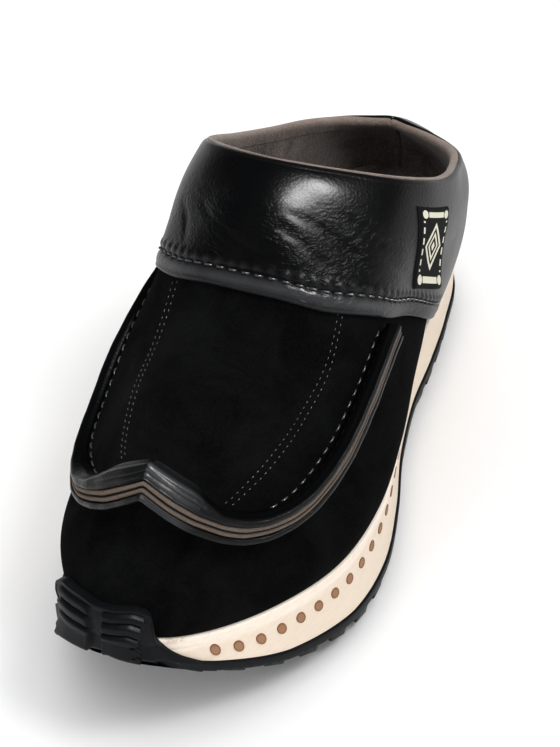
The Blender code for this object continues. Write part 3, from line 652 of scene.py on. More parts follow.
TOP_LINE = [
    # x, lateral, medial, up
    (0.066, -0.005, 0.005, 0.303),
    (0.074, 0.090, 0.100, 0.307),
    (0.095, 0.217, 0.215, 0.326),
    (0.155, 0.400, 0.350, 0.392),
    (0.235, 0.470, 0.445, 0.474),
    (0.318, 0.492, 0.512, 0.573),
    (0.403, 0.455, 0.505, 0.720),
    (0.474, 0.325, 0.385, 0.872),
    (0.531, -0.042, 0.042, 1.000),
]
SPINE = [
    # station, x, lateral, up
    (8.5, 0.588, -0.042, 0.930),
    (9.0, 0.629, -0.042, 0.715),
    (9.5, 0.667, -0.043, 0.660),
    (10.0, 0.712, -0.044, 0.630),
    (11.0, 0.795, -0.046, 0.580),
    (12.0, 0.860, -0.048, 0.535),
]
THROAT = len(TOP_LINE) - 1


def last_rows(sections, width, height):
    """Rows of a ring on the upper from a table of sections and its two sizes."""
    return [(x * LENGTH, left * width, -right * width, midsole_top(sole) + up * height)
            for sole, (x, left, right, up) in zip(SOLE_SECTIONS, sections)]


seam_line = ring(last_rows(SEAM_SECTIONS, SEAM_WIDTH, SEAM_HEIGHT))
crown_line = ring(last_rows(CROWN_SECTIONS, THROAT_WIDTH, COLLAR_HEIGHT))
throat_line = ring(last_rows(TOP_LINE, THROAT_WIDTH, COLLAR_HEIGHT))
spine_points = [(x * LENGTH, y * THROAT_WIDTH, BALL_HEIGHT + up * COLLAR_HEIGHT) for _, x, y, up in SPINE]
spine_curve = curve_through(np.vstack([throat_line(THROAT), np.array(spine_points) + SHOE_PLACE, seam_line(TOE)]),
                            False)
spine_stations = [THROAT] + [row[0] for row in SPINE] + [TOE]


def top_line(walk):
    """Top line round the opening, then the middle line of instep and apron."""
    walk = np.asarray(walk, dtype=float) % ROUND
    station = station_of(walk)
    rim = throat_line(np.where(walk <= TOE, walk, walk - ROUND))
    spine = spine_curve(np.interp(station, spine_stations, range(len(spine_stations))))
    return np.where((station <= THROAT)[..., None], rim, spine)


def skin(walk, level):
    """Points on the outer face of the upper."""
    walk, level = np.broadcast_arrays(np.asarray(walk, dtype=float), np.asarray(level, dtype=float))
    station, v = station_of(walk)[..., None], level[..., None]
    out = outward(top_edge, walk)
    foot = top_edge(walk) - out * (LEDGE + collar_room(walk))[..., None] + UP * GAP
    full = out * (TOE_FULLNESS * bell(walk, 15.1, 1.3) * bell(level, 0.5, 0.30))[..., None]
    seam, crown, top = seam_line(walk), crown_line(walk), top_line(walk)
    front = blend(CREASE_STARTS, CREASE_FULL, station)
    span = np.linalg.norm(seam - foot, axis=-1, keepdims=True)
    foot_pull = (out * math.tan(math.radians(VAMP_LEAN)) + UP) * span
    seam_pull = (crown - foot) * SMOOTH_PULL * (1.0 - front) + UP * span * front
    lower = hermite(foot, seam, foot_pull, seam_pull, np.clip(v, 0.0, 1.0))
    crown_pull = (top - seam) * 0.5
    crease_pull = (crown - foot) * 0.5 * (1.0 - front) + ((crown - seam) * 1.5 - crown_pull * 0.5) * front
    middle = hermite(seam, crown, crease_pull, crown_pull, np.clip((v - 1.0) * 2.0, 0.0, 1.0))
    side = np.where(walk % ROUND <= TOE, 1.0, -1.0)[..., None] * [0.0, -1.0, 0.0]
    reach = np.linalg.norm((top - crown)[..., :2], axis=-1, keepdims=True) * ARCH_PULL
    over = blend(ARCH_STARTS, THROAT, station)
    top_pull = (top - crown) * (1.0 - over) + side * reach * over
    upper = hermite(crown, top, crown_pull, top_pull, np.clip((v - 1.5) * 2.0, 0.0, 1.0))
    point = np.where(v <= 1.0, lower, np.where(v <= 1.5, middle, upper))
    return np.where((station >= TOE) & (v > 1.0), seam, point + full)


def side_normal(walk, level):
    """Direction out of the upper, measured on its own side of the shoe."""
    level = np.asarray(level, dtype=float)
    along = skin(walk + STEP, level) - skin(walk - STEP, level)
    upward = skin(walk, np.minimum(level + STEP, 2.0)) - skin(walk, np.maximum(level - STEP, 0.0))
    return unit(np.cross(upward, along))


beak_normal = unit(side_normal(TOE - 0.4, 1.5) + side_normal(TOE + 0.4, 1.5) + side_normal(TOE, 0.9))


def normal(walk, level):
    """Direction out of the upper, level at the sole and shared where the two sides meet."""
    walk, level = np.broadcast_arrays(np.asarray(walk, dtype=float), np.asarray(level, dtype=float))
    station = station_of(walk)
    near_beak = (blend(11.4, 12.4, station) * blend(0.6, 0.95, level))[..., None]
    shared = unit(side_normal(station, 2.0) + side_normal(ROUND - station, 2.0))
    own = np.where(((level >= 2.0) & (station >= THROAT))[..., None], shared, side_normal(walk, level))
    own = np.where((level <= 0.0)[..., None], outward(top_edge, walk), own)
    return unit(own * (1.0 - near_beak) + beak_normal * near_beak)


def creased(points, table, surface=skin):
    """Height to add at each point for soft folds: each row is a path on the surface, its width
    and its height, negative for a trough."""
    height = np.zeros(points.shape[:-1])
    for path, width, rise in table:
        stops = curve_through(surface(*np.array(path).T), False)(np.linspace(0.0, len(path) - 1.0, 13))
        nearest = np.full(points.shape[:-1], 1e9)
        place = np.zeros(points.shape[:-1])
        for i, (a, b) in enumerate(zip(stops, stops[1:])):
            t = np.clip(((points - a) @ (b - a)) / np.dot(b - a, b - a), 0.0, 1.0)
            distance = np.linalg.norm(points - a - t[..., None] * (b - a), axis=-1)
            closer = distance < nearest
            nearest = np.where(closer, distance, nearest)
            place = np.where(closer, (i + t) / (len(stops) - 1), place)
        height += rise * bell(nearest, 0.0, width) * np.sin(math.pi * np.clip(place, 0.0, 1.0)) ** 0.7
    return height


SUEDE_BLACK = (0.0022, 0.0023, 0.0023, 1.0)
SUEDE_LIGHT = (0.0120, 0.0124, 0.0126, 1.0)
black_suede, tree, shader = new_material("black_suede", Roughness=1.0, Specular_IOR_Level=0.02,
                                         Sheen_Weight=0.01, Sheen_Roughness=0.5)
dress(tree, shader, nap, Deep=SUEDE_BLACK, Brushed=SUEDE_LIGHT, Patch=42.0, Fibre=1500.0, Amount=0.85, Depth=0.30)

VAMP_FOLDS = [
    # path of (walk, level), width, rise
    ([(8.3, 0.90), (8.7, 0.55), (9.2, 0.35)], 0.0050, -0.0006),
    ([(9.1, 0.80), (9.6, 0.50), (10.2, 0.30)], 0.0060, -0.0005),
    ([(17.6, 0.85), (17.2, 0.55), (16.8, 0.30)], 0.0055, -0.0006),
    ([(9.6, 1.30), (9.9, 1.60), (10.0, 1.98)], 0.0080, -0.0005),
]
walks = np.linspace(0.0, ROUND, 521)
levels = np.concatenate([np.linspace(0.0, 1.0, 41), np.linspace(1.0, 2.0, 45)[1:]])
walk_grid, level_grid = np.meshgrid(walks, levels, indexing="ij")
place, out = skin(walk_grid, level_grid), normal(walk_grid, level_grid)
place = place + out * creased(place, VAMP_FOLDS)[..., None]
make_piece("suede_upper", [place], black_suede, ["upper"])

lining_levels = np.concatenate([np.linspace(0.0, 1.96, 60), [2.0]])
walk_grid, level_grid = np.meshgrid(np.linspace(0.0, ROUND, 417), lining_levels, indexing="ij")
back_seam = bell(station_of(walk_grid), 0.0, 0.05)
place = skin(walk_grid, level_grid) - normal(walk_grid, level_grid) * (WALL - 0.0008 * back_seam)[..., None]
# Painted shade: the lining is darker low down and towards the front, deep in the shoe; it is also darker along the
# back seam.
depth_in = blend(9.0, 7.0, station_of(walk_grid)) * blend(0.0, 0.5, level_grid)
make_piece("lining", [place], brown_suede,
           masks={"shade": [0.35 * (1.0 - depth_in) + 0.8 * back_seam], "cut_edge": [0.0]})


# Collar: a padded band of smooth black leather, folded over at its foot and sewn down round the
# instep. Its upper edge turns in over the top line, where the cut edge of the lining shows. A
# place on it is again a pair: around counts 0 to 16 along the top line, heel to throat on the
# outer side and back on the inner one, and up is 0 at the folded foot and 1 at the top line.
COLLAR_LEATHER = 0.0021
COLLAR_PADDING = 0.0014
COLLAR_GAP = 0.0008
COLLAR_EDGE = [
    # station, level
    (4.35, 0.00), (5.40, 0.45), (6.30, 0.85), (7.00, 1.13), (7.60, 1.32), (8.20, 1.49),
    (8.60, 1.64), (8.85, 1.80), (9.00, 2.00),
]
COLLAR_FRONT = COLLAR_EDGE[-1][0]
COLLAR_STITCH = 0.0056
COLLAR_PITCH = 0.0050
COLLAR_ROUNDS = 150
LEATHER_BLACK = (0.0030, 0.0033, 0.0038, 1.0)
# The worn tone serves for real scuffs and also for painted highlights on the collar's band and the beak.
LEATHER_WORN_AND_LIT = (0.120, 0.122, 0.128, 1.0)
COLLAR_FOLDS = [
    # path of (around, up), width, rise
    ([(8.5, 0.44), (8.1, 0.30), (7.8, 0.15)], 0.0016, -0.0005),
    ([(8.2, 0.50), (7.8, 0.34), (7.5, 0.18)], 0.0018, -0.0005),
    ([(7.9, 0.52), (7.5, 0.40), (7.1, 0.30)], 0.0016, -0.0004),
    ([(7.6, 0.40), (7.2, 0.28), (6.9, 0.16)], 0.0015, -0.0005),
    ([(7.4, 0.58), (7.0, 0.48), (6.5, 0.42)], 0.0017, -0.0004),
    ([(7.0, 0.38), (6.5, 0.30), (6.0, 0.25)], 0.0016, -0.0004),
    ([(7.2, 0.22), (6.8, 0.16), (6.4, 0.14)], 0.0014, -0.0004),
    ([(8.9, 0.48), (8.6, 0.34), (8.4, 0.18)], 0.0018, -0.0004),
    ([(9.6, 0.46), (9.3, 0.32), (9.2, 0.18)], 0.0020, -0.0003),
    ([(5.2, 0.60), (4.6, 0.50), (4.0, 0.46)], 0.0024, -0.0003),
    ([(11.4, 0.55), (11.0, 0.42), (10.4, 0.36)], 0.0024, -0.0003),
]

black_leather, tree, shader = new_material("black_leather", Specular_IOR_Level=0.09, Coat_Weight=0.28,
                                           Coat_Roughness=0.25, Coat_IOR=1.38)
wrinkle = calculate(tree, "MULTIPLY", read_mask(tree, "wrinkle"), 1.3)
dress(tree, shader, grain, Tone=LEATHER_BLACK, Worn=LEATHER_WORN_AND_LIT, Wear=read_mask(tree, "wear_and_highlight"),
      Wrinkle=wrinkle, Cell=1000.0, Depth=0.20, Gloss=0.36, Gloss_change=0.20)

edge_curve = curve_through(COLLAR_EDGE, False)(np.linspace(0.0, len(COLLAR_EDGE) - 1.0, 241))


def under_collar(around, up):
    """Point of the upper's skin that lies under a place on the collar."""
    rim_station = np.minimum(around, 2 * THROAT - around)
    foot_station = rim_station + (rim_station / THROAT) ** 6 * (COLLAR_FRONT - THROAT)
    station = foot_station + (rim_station - foot_station) * up
    low = np.interp(foot_station, *edge_curve.T)
    return skin(np.where(around <= THROAT, station, ROUND - station), low + (2.0 - low) * up)


def loop_step(points):
    """Difference between each point's neighbours round a closed loop that repeats its first row."""
    body = points[:-1]
    step = np.roll(body, -1, axis=0) - np.roll(body, 1, axis=0)
    return np.concatenate([step, step[:1]])


# Columns are spaced evenly by length along foot and top line together, and the grid is then
# evened out over the instep, where the leather bridges the throat.
dense = np.linspace(0.0, 2.0 * THROAT, 1601)
spread = lengths_along(under_collar(dense, 0.0)) + lengths_along(under_collar(dense, 1.0))
around = np.interp(np.linspace(0.0, spread[-1], 521), spread, dense)
rise_rows = np.concatenate([np.linspace(0.0, 0.3, 24), np.linspace(0.3, 1.0, 42)[1:]])
around_grid, share_grid = np.meshgrid(around, rise_rows, indexing="ij")
rim_station = np.minimum(around_grid, 2.0 * THROAT - around_grid)
base = under_collar(around_grid, share_grid)
loosened = (0.85 * blend(4.6, 6.6, rim_station) + 0.1)[:-1, :, None]
for _ in range(COLLAR_ROUNDS):
    body = base[:-1]
    pull = (np.roll(body, 1, axis=0) + np.roll(body, -1, axis=0)) / 2.0 - body
    pull[:, 1:-1] = pull[:, 1:-1] * 0.5 + (body[:, 2:] + body[:, :-2]) / 4.0 - body[:, 1:-1] / 2.0
    pull[:, [0, -1]] *= 0.25
    body = body + pull * loosened
    base = np.concatenate([body, body[:1]])
out_grid = unit(np.cross(np.gradient(base, axis=1), loop_step(base)))

climb = lengths_along(base, axis=1)
seat_row = np.array([np.interp(COLLAR_STITCH, row, rise_rows) for row in climb])
seat_line = under_collar(around, seat_row)
seat_length = lengths_along(seat_line)
beat = 2.0 * math.pi * seat_length / (seat_length[-1] / round(seat_length[-1] / COLLAR_PITCH))
sewn = blend(4.3, 4.9, rim_station)
between = (0.5 - 0.5 * np.cos(beat))[:, None]
fullness = np.sin(math.pi * np.clip(0.10 + 0.90 * share_grid, 0.0, 1.0)) ** 0.8
thick = COLLAR_GAP + COLLAR_LEATHER + COLLAR_PADDING * fullness
thick = thick - sewn * bell(climb, COLLAR_STITCH, 0.0009) * (0.0013 - 0.0007 * between)
thick = thick + sewn * bell(climb, COLLAR_STITCH + 0.0026, 0.0014) * 0.0005 * between
thick = thick - 0.0007 * bell(climb, 0.0, 0.0014)
thick = thick - 0.0009 * bell(rim_station, 0.0, 0.035)
thick = thick - 0.0011 * blend(8.4, 9.6, around_grid) * blend(0.7, 0.0, share_grid)
thick = thick + creased(base, COLLAR_FOLDS, under_collar) * blend(0.006, 0.010, climb)
face = base + out_grid * thick[..., None]


def turned_lip(line, out, up, middle, reach, angles, swell=0.0):
    """Rows of a lip that turns from the outer side over a line, by angles in degrees."""
    angles = np.radians(angles)[None, :, None]
    reach = np.broadcast_to(np.asarray(reach + swell, dtype=float), (len(line), angles.shape[1]))[..., None]
    return (line[:, None] + out[:, None] * (np.asarray(middle)[:, None, None] + reach * np.cos(angles))
            + up[:, None] * (reach * np.sin(angles)))


foot_out = out_grid[:, 0]
foot_down = unit(np.cross(foot_out, loop_step(base[:, 0])))
foot_half = thick[:, 0] / 2.0
fold = turned_lip(base[:, 0], foot_out, foot_down, foot_half, foot_half[:, None], np.linspace(180.0, 0.0, 11)[:-1])
rim_line, rim_out = base[:, -1], out_grid[:, -1]
rim_up = unit(np.cross(loop_step(rim_line), rim_out))
rim_half = (thick[:, -1] + WALL) / 2.0
rolled = turned_lip(rim_line, rim_out, rim_up, thick[:, -1] - rim_half, rim_half[:, None], np.linspace(0.0, 76.0, 12))
rolled[:, -1] -= rim_up * 0.0006
region = blend(5.0, 6.4, around_grid) * blend(10.4, 8.6, around_grid) * blend(0.80, 0.45, share_grid)
mottled = np.maximum(region, 0.12)
# The fold at the foot and the band below the stitches are lightened towards the front: partly real scuffs, partly a
# painted highlight where the rounded band faces the lamps.
rubbed_and_lit = sewn * (0.06 + 0.94 * blend(5.8, 7.2, rim_station))
scuffs_and_highlight = rubbed_and_lit * (bell(climb, 0.0022, 0.0024) + 0.3 * bell(climb, COLLAR_STITCH + 0.0024, 0.0010) * between)
wrinkles = [np.concatenate([np.full(fold.shape[:2], 0.3), mottled], axis=1), 0.15]
turned = (0.03 + 0.50 * blend(5.8, 7.2, rim_station[:, :1])) * np.ones(fold.shape[:2])
wear_and_highlight = [np.concatenate([turned, scuffs_and_highlight + 0.02], axis=1), 0.08]
collar_band = make_piece("collar_band", [np.concatenate([fold, face], axis=1), rolled], black_leather,
                         ["collar"], {"wrinkle": wrinkles, "wear_and_highlight": wear_and_highlight})

LINING_ANGLES = [60.0, 72.0, 92.0, 120.0, 150.0, 180.0]
LINING_SWELL = np.array([[-0.0006, 0.0005, 0.0009, 0.0009, 0.0005, 0.0]])
LINING_PALE = np.array([[0.3, 1.0, 1.0, 1.0, 0.6, 0.3, 0.0]])
lining_edge = turned_lip(rim_line, rim_out, rim_up, thick[:, -1] - rim_half, rim_half[:, None],
                         LINING_ANGLES, LINING_SWELL)
inner_hem = (rim_line - rim_out * (WALL + 0.0002) - rim_up * 0.0022)[:, None]
lining_edge = np.concatenate([lining_edge, inner_hem], axis=1)
make_piece("lining_edge", [lining_edge], brown_suede,
           masks={"cut_edge": [LINING_PALE], "shade": [0.0]})


# Raised seam: apron and vamp are turned up against each other and sewn, and a strip of black
# leather binds the standing edge from above and another from below. The raw suede shows
# between them. In front the three layers are pulled out to a beak.
FLANGE_ENDS = (6.88, 6.55)
FLANGE_REACH = 0.0074
BEAK_REACH = 0.0118
BEAK_AT = 12.93
BEAK_SPREAD = (1.00, 0.75)
BINDING = 0.0022
SEAM_LEATHER = 0.0040
EDGE_BROWN = (0.075, 0.055, 0.043, 1.0)
EDGE_PALE = (0.360, 0.290, 0.240, 1.0)
# Painted shade: near black for the slit between the raw layers and the inner wall under the strips.
GAP_SHADE = (0.004, 0.004, 0.004, 1.0)

raw_edge, tree, shader = new_material("raw_leather_edge", Roughness=0.9, Specular_IOR_Level=0.2)
fibre = noise(tree, 420.0, 5.0, Roughness=0.7)
fibre_tone = mix_color(tree, ranged(tree, fibre, 0.35, 0.7), EDGE_BROWN, EDGE_PALE)
tree.links.new(mix_color(tree, read_mask(tree, "gap_shade"), fibre_tone, GAP_SHADE), shader.inputs["Base Color"])
tree.links.new(raised(tree, fibre, 0.0005, 0.8), shader.inputs["Normal"])

# Each profile runs round its layer: share of the reach outwards, and share of the thickness.
APRON_BINDING = [(-0.30, 0.0), (0.2, 0.0), (0.80, 0.0), (0.99, 0.12), (1.03, 0.50), (0.97, 0.88), (0.84, 1.02),
                 (0.66, 1.02), (0.50, 1.05), (0.34, 1.10), (0.14, 1.02), (-0.08, 0.80), (-0.22, 0.50), (-0.30, 0.25)]
SEAM_EDGES = [(-0.45, 0.0), (0.2, 0.0), (0.80, 0.0), (0.93, 0.05), (0.97, 0.22), (0.95, 0.40), (0.86, 0.50),
              (0.95, 0.60), (0.97, 0.78), (0.93, 0.95), (0.80, 1.0), (0.2, 1.0), (-0.45, 1.0), (-0.45, 0.5)]
VAMP_BINDING = [(-0.45, 0.0), (0.2, 0.0), (0.80, -0.02), (0.98, 0.10), (1.04, 0.50), (0.98, 0.92), (0.80, 1.0),
                (0.2, 1.0), (-0.45, 1.0), (-0.45, 0.5)]


def flange_frame(walk):
    """Seam points with the directions along the flange: outwards, and up through its layers.
    Along the sides the strip is narrow: it stands off the apron outside and is cut back inside."""
    spread = np.where(walk < BEAK_AT, *BEAK_SPREAD)
    near_beak = np.exp(-np.sqrt(((walk - BEAK_AT) / spread) ** 2 + 0.005))[..., None]
    tilt = np.radians(6.0 + 38.0 * near_beak)
    along = unit(seam_line(walk + STEP) - seam_line(walk - STEP))
    ahead = bell(walk, BEAK_AT, 0.8)[..., None]
    out = unit(outward(seam_line, walk) * (1.0 - ahead) + outward(seam_line, BEAK_AT) * ahead)
    up = unit(np.cross(along, out))
    up = unit(up * (1.0 - ahead) + UP * ahead)
    reach = out * np.cos(tilt) + up * np.sin(tilt)
    stack = up * np.cos(tilt) - out * np.sin(tilt)
    outer_side = blend(11.6, 9.6, walk)[..., None]
    inner_side = blend(14.2, 16.6, walk)[..., None]
    start = FLANGE_REACH * 0.42 * outer_side
    width = FLANGE_REACH + (BEAK_REACH - FLANGE_REACH) * near_beak - start - FLANGE_REACH * 0.56 * inner_side
    pressed = 1.0 - 0.15 * outer_side - 0.35 * inner_side
    return seam_line(walk), reach, stack, start, width, pressed


def flange_layer(name, profile, low, high, material, replaced, masks_of, wobble, ribs=0.0):
    """One layer of the raised seam from the collar round the beak to the collar. With ribs the
    layer is drawn up thick at the beak, and pinched edges of that depth run along its front."""
    walks = np.unique(np.concatenate([np.linspace(FLANGE_ENDS[0], ROUND - FLANGE_ENDS[1], 301),
                                      np.linspace(BEAK_AT - 0.9, BEAK_AT + 0.9, 121)]))
    shape = curve_through(profile, True)(np.linspace(0.0, len(profile), 53))
    seam, reach, stack, start, width, pressed = flange_frame(walks)
    along = walks[:, None]
    uneven = 1.0 + wobble * (np.sin(along * 5.3 + low * 900.0) + 0.6 * np.sin(along * 13.7 + 1.0)) * 0.5
    drawn_up = blend(11.55, 12.25, along) * blend(14.7, 13.5, along) * (ribs > 0.0)
    ridge = ribs * drawn_up * np.sin(2.0 * math.pi * shape[None, :, 1] * 3.6) * blend(0.7, 0.95, shape[:, 0])[None]
    lean = 0.0016 * drawn_up * np.clip(shape[None, :, 1], 0.0, 1.0)
    over = (low + (high - low) * shape[None, :, 1] * (1.0 + 1.25 * drawn_up)) * pressed
    forth = start + shape[None, :, 0] * uneven * width + ridge - lean
    sheet = (seam[:, None] + reach[:, None] * forth[..., None]
             + stack[:, None] * over[..., None])
    caps = [np.stack([sheet[i], np.repeat(sheet[i].mean(axis=0)[None], len(shape), axis=0)]) for i in (0, -1)]
    masks = {mask: [rule(along, shape[None, :, 0], shape[None, :, 1]), 0.0, 0.0]
             for mask, rule in masks_of.items()}
    return make_piece(name, [sheet] + caps, material, replaced, masks, sharp=60.0)


half = SEAM_LEATHER / 2.0
# The strips are lightened a little along their outer edge, which is real scuffing, and strongly in stripes on the
# beak's outer side, a painted highlight on the edges of the layers.
at_beak = {"wear_and_highlight": lambda walk, out, up: (0.14 * bell(out, 0.98, 0.12) + 1.0 * blend(0.1, 0.5, out)
                                          * blend(11.9, 12.4, walk) * blend(BEAK_AT + 0.03, BEAK_AT, walk)
                                          * (0.6 + 0.4 * np.sin(2.0 * math.pi * 3.6 * up))),
           "wrinkle": lambda walk, out, up: 0.35}
flange_layer("apron_strip", APRON_BINDING, half + 0.0001, half + SKIN_GAP + BINDING, black_leather,
             ["apron_binding"], at_beak, 0.035, ribs=0.00030)
# The mask paints shade into the slit between the two raw layers and on their inner wall.
flange_layer("raw_edges", SEAM_EDGES, -half, half, raw_edge, ["seam_leather"],
             {"gap_shade": lambda walk, out, up: np.maximum(bell(up, 0.5, 0.11) * blend(0.80, 0.86, out),
                                                      blend(0.55, 0.35, out))}, 0.03)
flange_layer("vamp_strip", VAMP_BINDING, -half - SKIN_GAP - BINDING, -half - 0.0001, black_leather,
             ["vamp_binding"], at_beak, 0.035)


# Toe bumper: the outsole's rubber carried up over the toe. A rim stands round two pads with
# ribs across them, a channel parts the pads, and the outer pad's side is notched.
BUMPER_ROOT = 0.0034
BUMPER_WALL = 0.0030
BUMPER_RISE = 0.0120
BUMPER_PAD = 0.0014
UNDER_TURN = 0.0065
BUMPER_EDGE = [
    # walk, height
    (11.00, -0.05), (11.30, 0.08), (11.55, 0.26), (11.74, 0.56), (11.88, 1.00), (12.08, 1.55), (12.28, 1.93),
    (12.60, 1.99), (12.95, 1.90), (13.30, 1.89), (13.65, 1.97), (14.00, 2.00), (14.30, 2.02), (14.52, 1.92),
    (14.66, 1.65), (14.76, 1.05), (14.98, 0.50), (15.40, -0.05),
]


def toe_front(walks, heights):
    """Places on the front of the shoe and the directions out of it: height 0 is the wedge's
    lower edge, 1 its top edge and 2 the bumper's full rise up the vamp."""
    places, outs = [], []
    levels = np.linspace(0.0, 0.6, 25)
    for walk, height in zip(walks, heights):
        out = np.broadcast_to(outward(top_edge, walk), (len(height), 3))
        foot, top = foot_edge(walk), top_edge(walk)
        rises = skin(walk, levels)[:, 2] - top[2]
        level = np.interp((height - 1.0) * BUMPER_RISE, rises, levels)
        tilt = blend(1.0, 1.5, height)[:, None]
        over = skin(walk, level) + out * LEDGE * (1.0 - tilt)
        side = foot + (top - foot) * np.clip(height, 0.0, 1.0)[:, None]
        side = side + UP * np.minimum(height, 0.0)[:, None] * PLATE
        under = blend(0.25, -1.0, height) * UNDER_TURN * blend(11.4, 12.4, station_of(walk))
        side = side - out * under[:, None] + UP * under[:, None] * 0.25
        places.append(np.where(height[:, None] <= 1.0, side, over))
        outs.append(unit(out * (1.0 - tilt) + normal(walk, level) * tilt))
    return np.array(places), np.array(outs)


walks = np.linspace(BUMPER_EDGE[0][0], BUMPER_EDGE[-1][0], 361)
rise_shares = np.linspace(0.0, 1.0, 101)
root = BUMPER_ROOT / PLATE
crest = np.interp(walks, *zip(*BUMPER_EDGE))
crest = np.convolve(np.pad(crest, 5, mode="edge"), np.ones(11) / 11.0, mode="valid")
height_grid = -root + (crest + root)[:, None] * rise_shares[None, :]
walk_grid = np.repeat(walks[:, None], len(rise_shares), axis=1)
place, out = toe_front(walks, height_grid)
CHANNEL = 13.28
PAD_ENDS = (12.34, 14.42)
# The pads are set out by height on the toe; the outer pad's side is cut in two notches.
teeth = np.abs(((height_grid + 0.30) / 0.62) % 1.0 - 0.5) * 2.0
notched = blend(1.36, 1.26, height_grid) * (0.22 * teeth - 0.03)
outer_pad = blend(0.0, 0.045, walk_grid - PAD_ENDS[0] - notched) * blend(0.0, 0.045, CHANNEL - 0.13 - walk_grid)
inner_pad = blend(0.0, 0.045, PAD_ENDS[1] - walk_grid) * blend(0.0, 0.045, walk_grid - CHANNEL - 0.13)
below_crest = (crest[:, None] - height_grid)
pad = (outer_pad + inner_pad) * blend(0.14, 0.20, below_crest) * blend(-0.60, -0.52, height_grid)
grooves = bell(below_crest, 0.36, 0.035) + bell(below_crest, 0.62, 0.035)
steps = 0.35 * blend(0.34, 0.40, below_crest) + 0.30 * blend(0.60, 0.66, below_crest)
rim_bead = bell(below_crest, 0.07, 0.05) * 0.0007 * blend(0.4, 1.0, height_grid)
body = 0.0012 + (BUMPER_WALL - 0.0012) * blend(11.75, 12.16, walk_grid) * blend(14.98, 14.62, walk_grid)
thick = body + BUMPER_PAD * pad * (0.75 + steps - 0.9 * np.minimum(grooves, 1.0)) + rim_bead
thick = thick * (1.0 - 0.45 * blend(0.06, 0.0, below_crest))
outer = place + out * (SKIN_GAP + thick)[..., None]
inner = place + out * SKIN_GAP
top_lip = np.stack([outer[:, -1], inner[:, -1]], axis=1)
foot_lip = np.stack([outer[:, 0], inner[:, 0]], axis=1)
ends = [np.stack([outer[i], inner[i]], axis=0) for i in (0, -1)]
make_piece("toe_bumper", [outer, inner, top_lip, foot_lip] + ends, rubber, ["outsole"])


# Stitching: waxed thread. Coarse stitches run along the inside of the raised seam and above the
# collar's foot, and a fine double row holds the apron's reinforcement.
THREAD_BLACK = (0.020, 0.020, 0.021, 1.0)
THREAD_LIGHT = (0.16, 0.155, 0.15, 1.0)
# pitch, length, thickness and sink of a stitch
COLLAR_STITCHES = (COLLAR_PITCH, 0.0033, 0.00045, 0.0004)
SEAM_STITCHES = (0.0050, 0.0034, 0.00040, 0.0003)
FINE_STITCHES = (0.0026, 0.0012, 0.00018, 0.0002)
thread, tree, shader = new_material("waxed_thread", Specular_IOR_Level=0.6, Coat_Weight=0.3, Coat_Roughness=0.2)
strand = noise(tree, 900.0, 3.0)
strand_tone = mix_color(tree, ranged(tree, strand, 0.4, 0.7), THREAD_BLACK, THREAD_LIGHT)
tree.links.new(strand_tone, shader.inputs["Base Color"])
tree.links.new(ranged(tree, strand, 0.0, 1.0, 0.28, 0.55), shader.inputs["Roughness"])


def stitch_row(name, line, out, pitch, length, thick, sink):
    """Stitches set out by length along a line, each a short loop that dips in at both ends."""
    steps = lengths_along(line)
    count = int(steps[-1] / pitch)
    rings_per, sides = 7, 6
    blocks = []
    for k in range(count):
        t = np.linspace(-0.5, 0.5, rings_per)
        at = (k + 0.5) * steps[-1] / count + t * length
        centre = np.stack([np.interp(at, steps, line[:, axis]) for axis in range(3)], axis=-1)
        lift = unit(np.stack([np.interp(at, steps, out[:, axis]) for axis in range(3)], axis=-1))
        along = unit(np.gradient(centre, axis=0))
        cross = np.cross(along, lift)
        bow = (1.0 - (2.0 * t) ** 4)[:, None] * (thick * 0.9 + sink) - sink
        radius = thick * (1.0 - 0.45 * (2.0 * t) ** 6)[:, None]
        centre = centre + lift * bow
        turn = np.linspace(0.0, 2.0 * math.pi, sides + 1)
        blocks.append(np.stack([centre + cross * radius * math.cos(a) + lift * radius * 0.8 * math.sin(a)
                                for a in turn], axis=1))
    return make_piece(name, blocks, thread, sharp=80.0)


def on_collar(around_at, up_at, over):
    """Points at a height over the collar's outer face."""
    column = np.interp(around_at, around, np.arange(len(around)))
    row = np.interp(up_at, rise_rows, np.arange(len(rise_rows)))
    i = np.minimum(column.astype(int), len(around) - 2)
    j = np.minimum(row.astype(int), len(rise_rows) - 2)
    s, t = (column - i)[..., None], (row - j)[..., None]

    def read(grid):
        return ((grid[i, j] * (1.0 - s) + grid[i + 1, j] * s) * (1.0 - t)
                + (grid[i, j + 1] * (1.0 - s) + grid[i + 1, j + 1] * s) * t)

    return read(face) + read(out_grid) * np.asarray(over)[..., None]


stitched = (around > 4.75) & (around < 2.0 * THROAT - 4.75)
stitch_row("collar_stitches", on_collar(around[stitched], seat_row[stitched], 0.0002),
           out_grid[stitched, 3], *COLLAR_STITCHES)


def apron_line(table):
    """Row of places on the apron from a table of (walk, level), smoothed."""
    places = curve_through(table, False)(np.linspace(0.0, len(table) - 1.0, 161))
    walk, level = places[:, 0], np.clip(places[:, 1], 1.0, 2.0)
    return skin(walk, level), normal(walk, level)


# Rows on the apron, outer side then inner side: the coarse seam row, and one of the two fine
# rows that run straight forward under the strip.
SEAM_ROWS = [
    [(7.02, 1.05), (8.0, 1.04), (9.0, 1.035), (10.0, 1.03), (10.9, 1.02)],
    [(19.3, 1.09), (18.6, 1.075), (18.0, 1.07), (17.0, 1.06), (16.0, 1.06), (15.2, 1.065), (14.7, 1.07)],
]
FINE_ROWS = [
    [(8.02, 1.455), (8.5, 1.325), (9.3, 1.262), (10.1, 1.215), (10.8, 1.155), (11.3, 1.07)],
    [(17.7, 1.50), (17.0, 1.435), (16.1, 1.395), (15.2, 1.36), (14.5, 1.29)],
]
for name, seam_row, fine_row in zip(("outer", "inner"), SEAM_ROWS, FINE_ROWS):
    stitch_row("seam_stitches_" + name, *apron_line(seam_row), *SEAM_STITCHES)
    for row, shift in (("a", 0.0), ("b", 0.045)):
        table = [(walk, level + shift) for walk, level in fine_row]
        stitch_row("fine_stitches_" + name + "_" + row, *apron_line(table), *FINE_STITCHES)
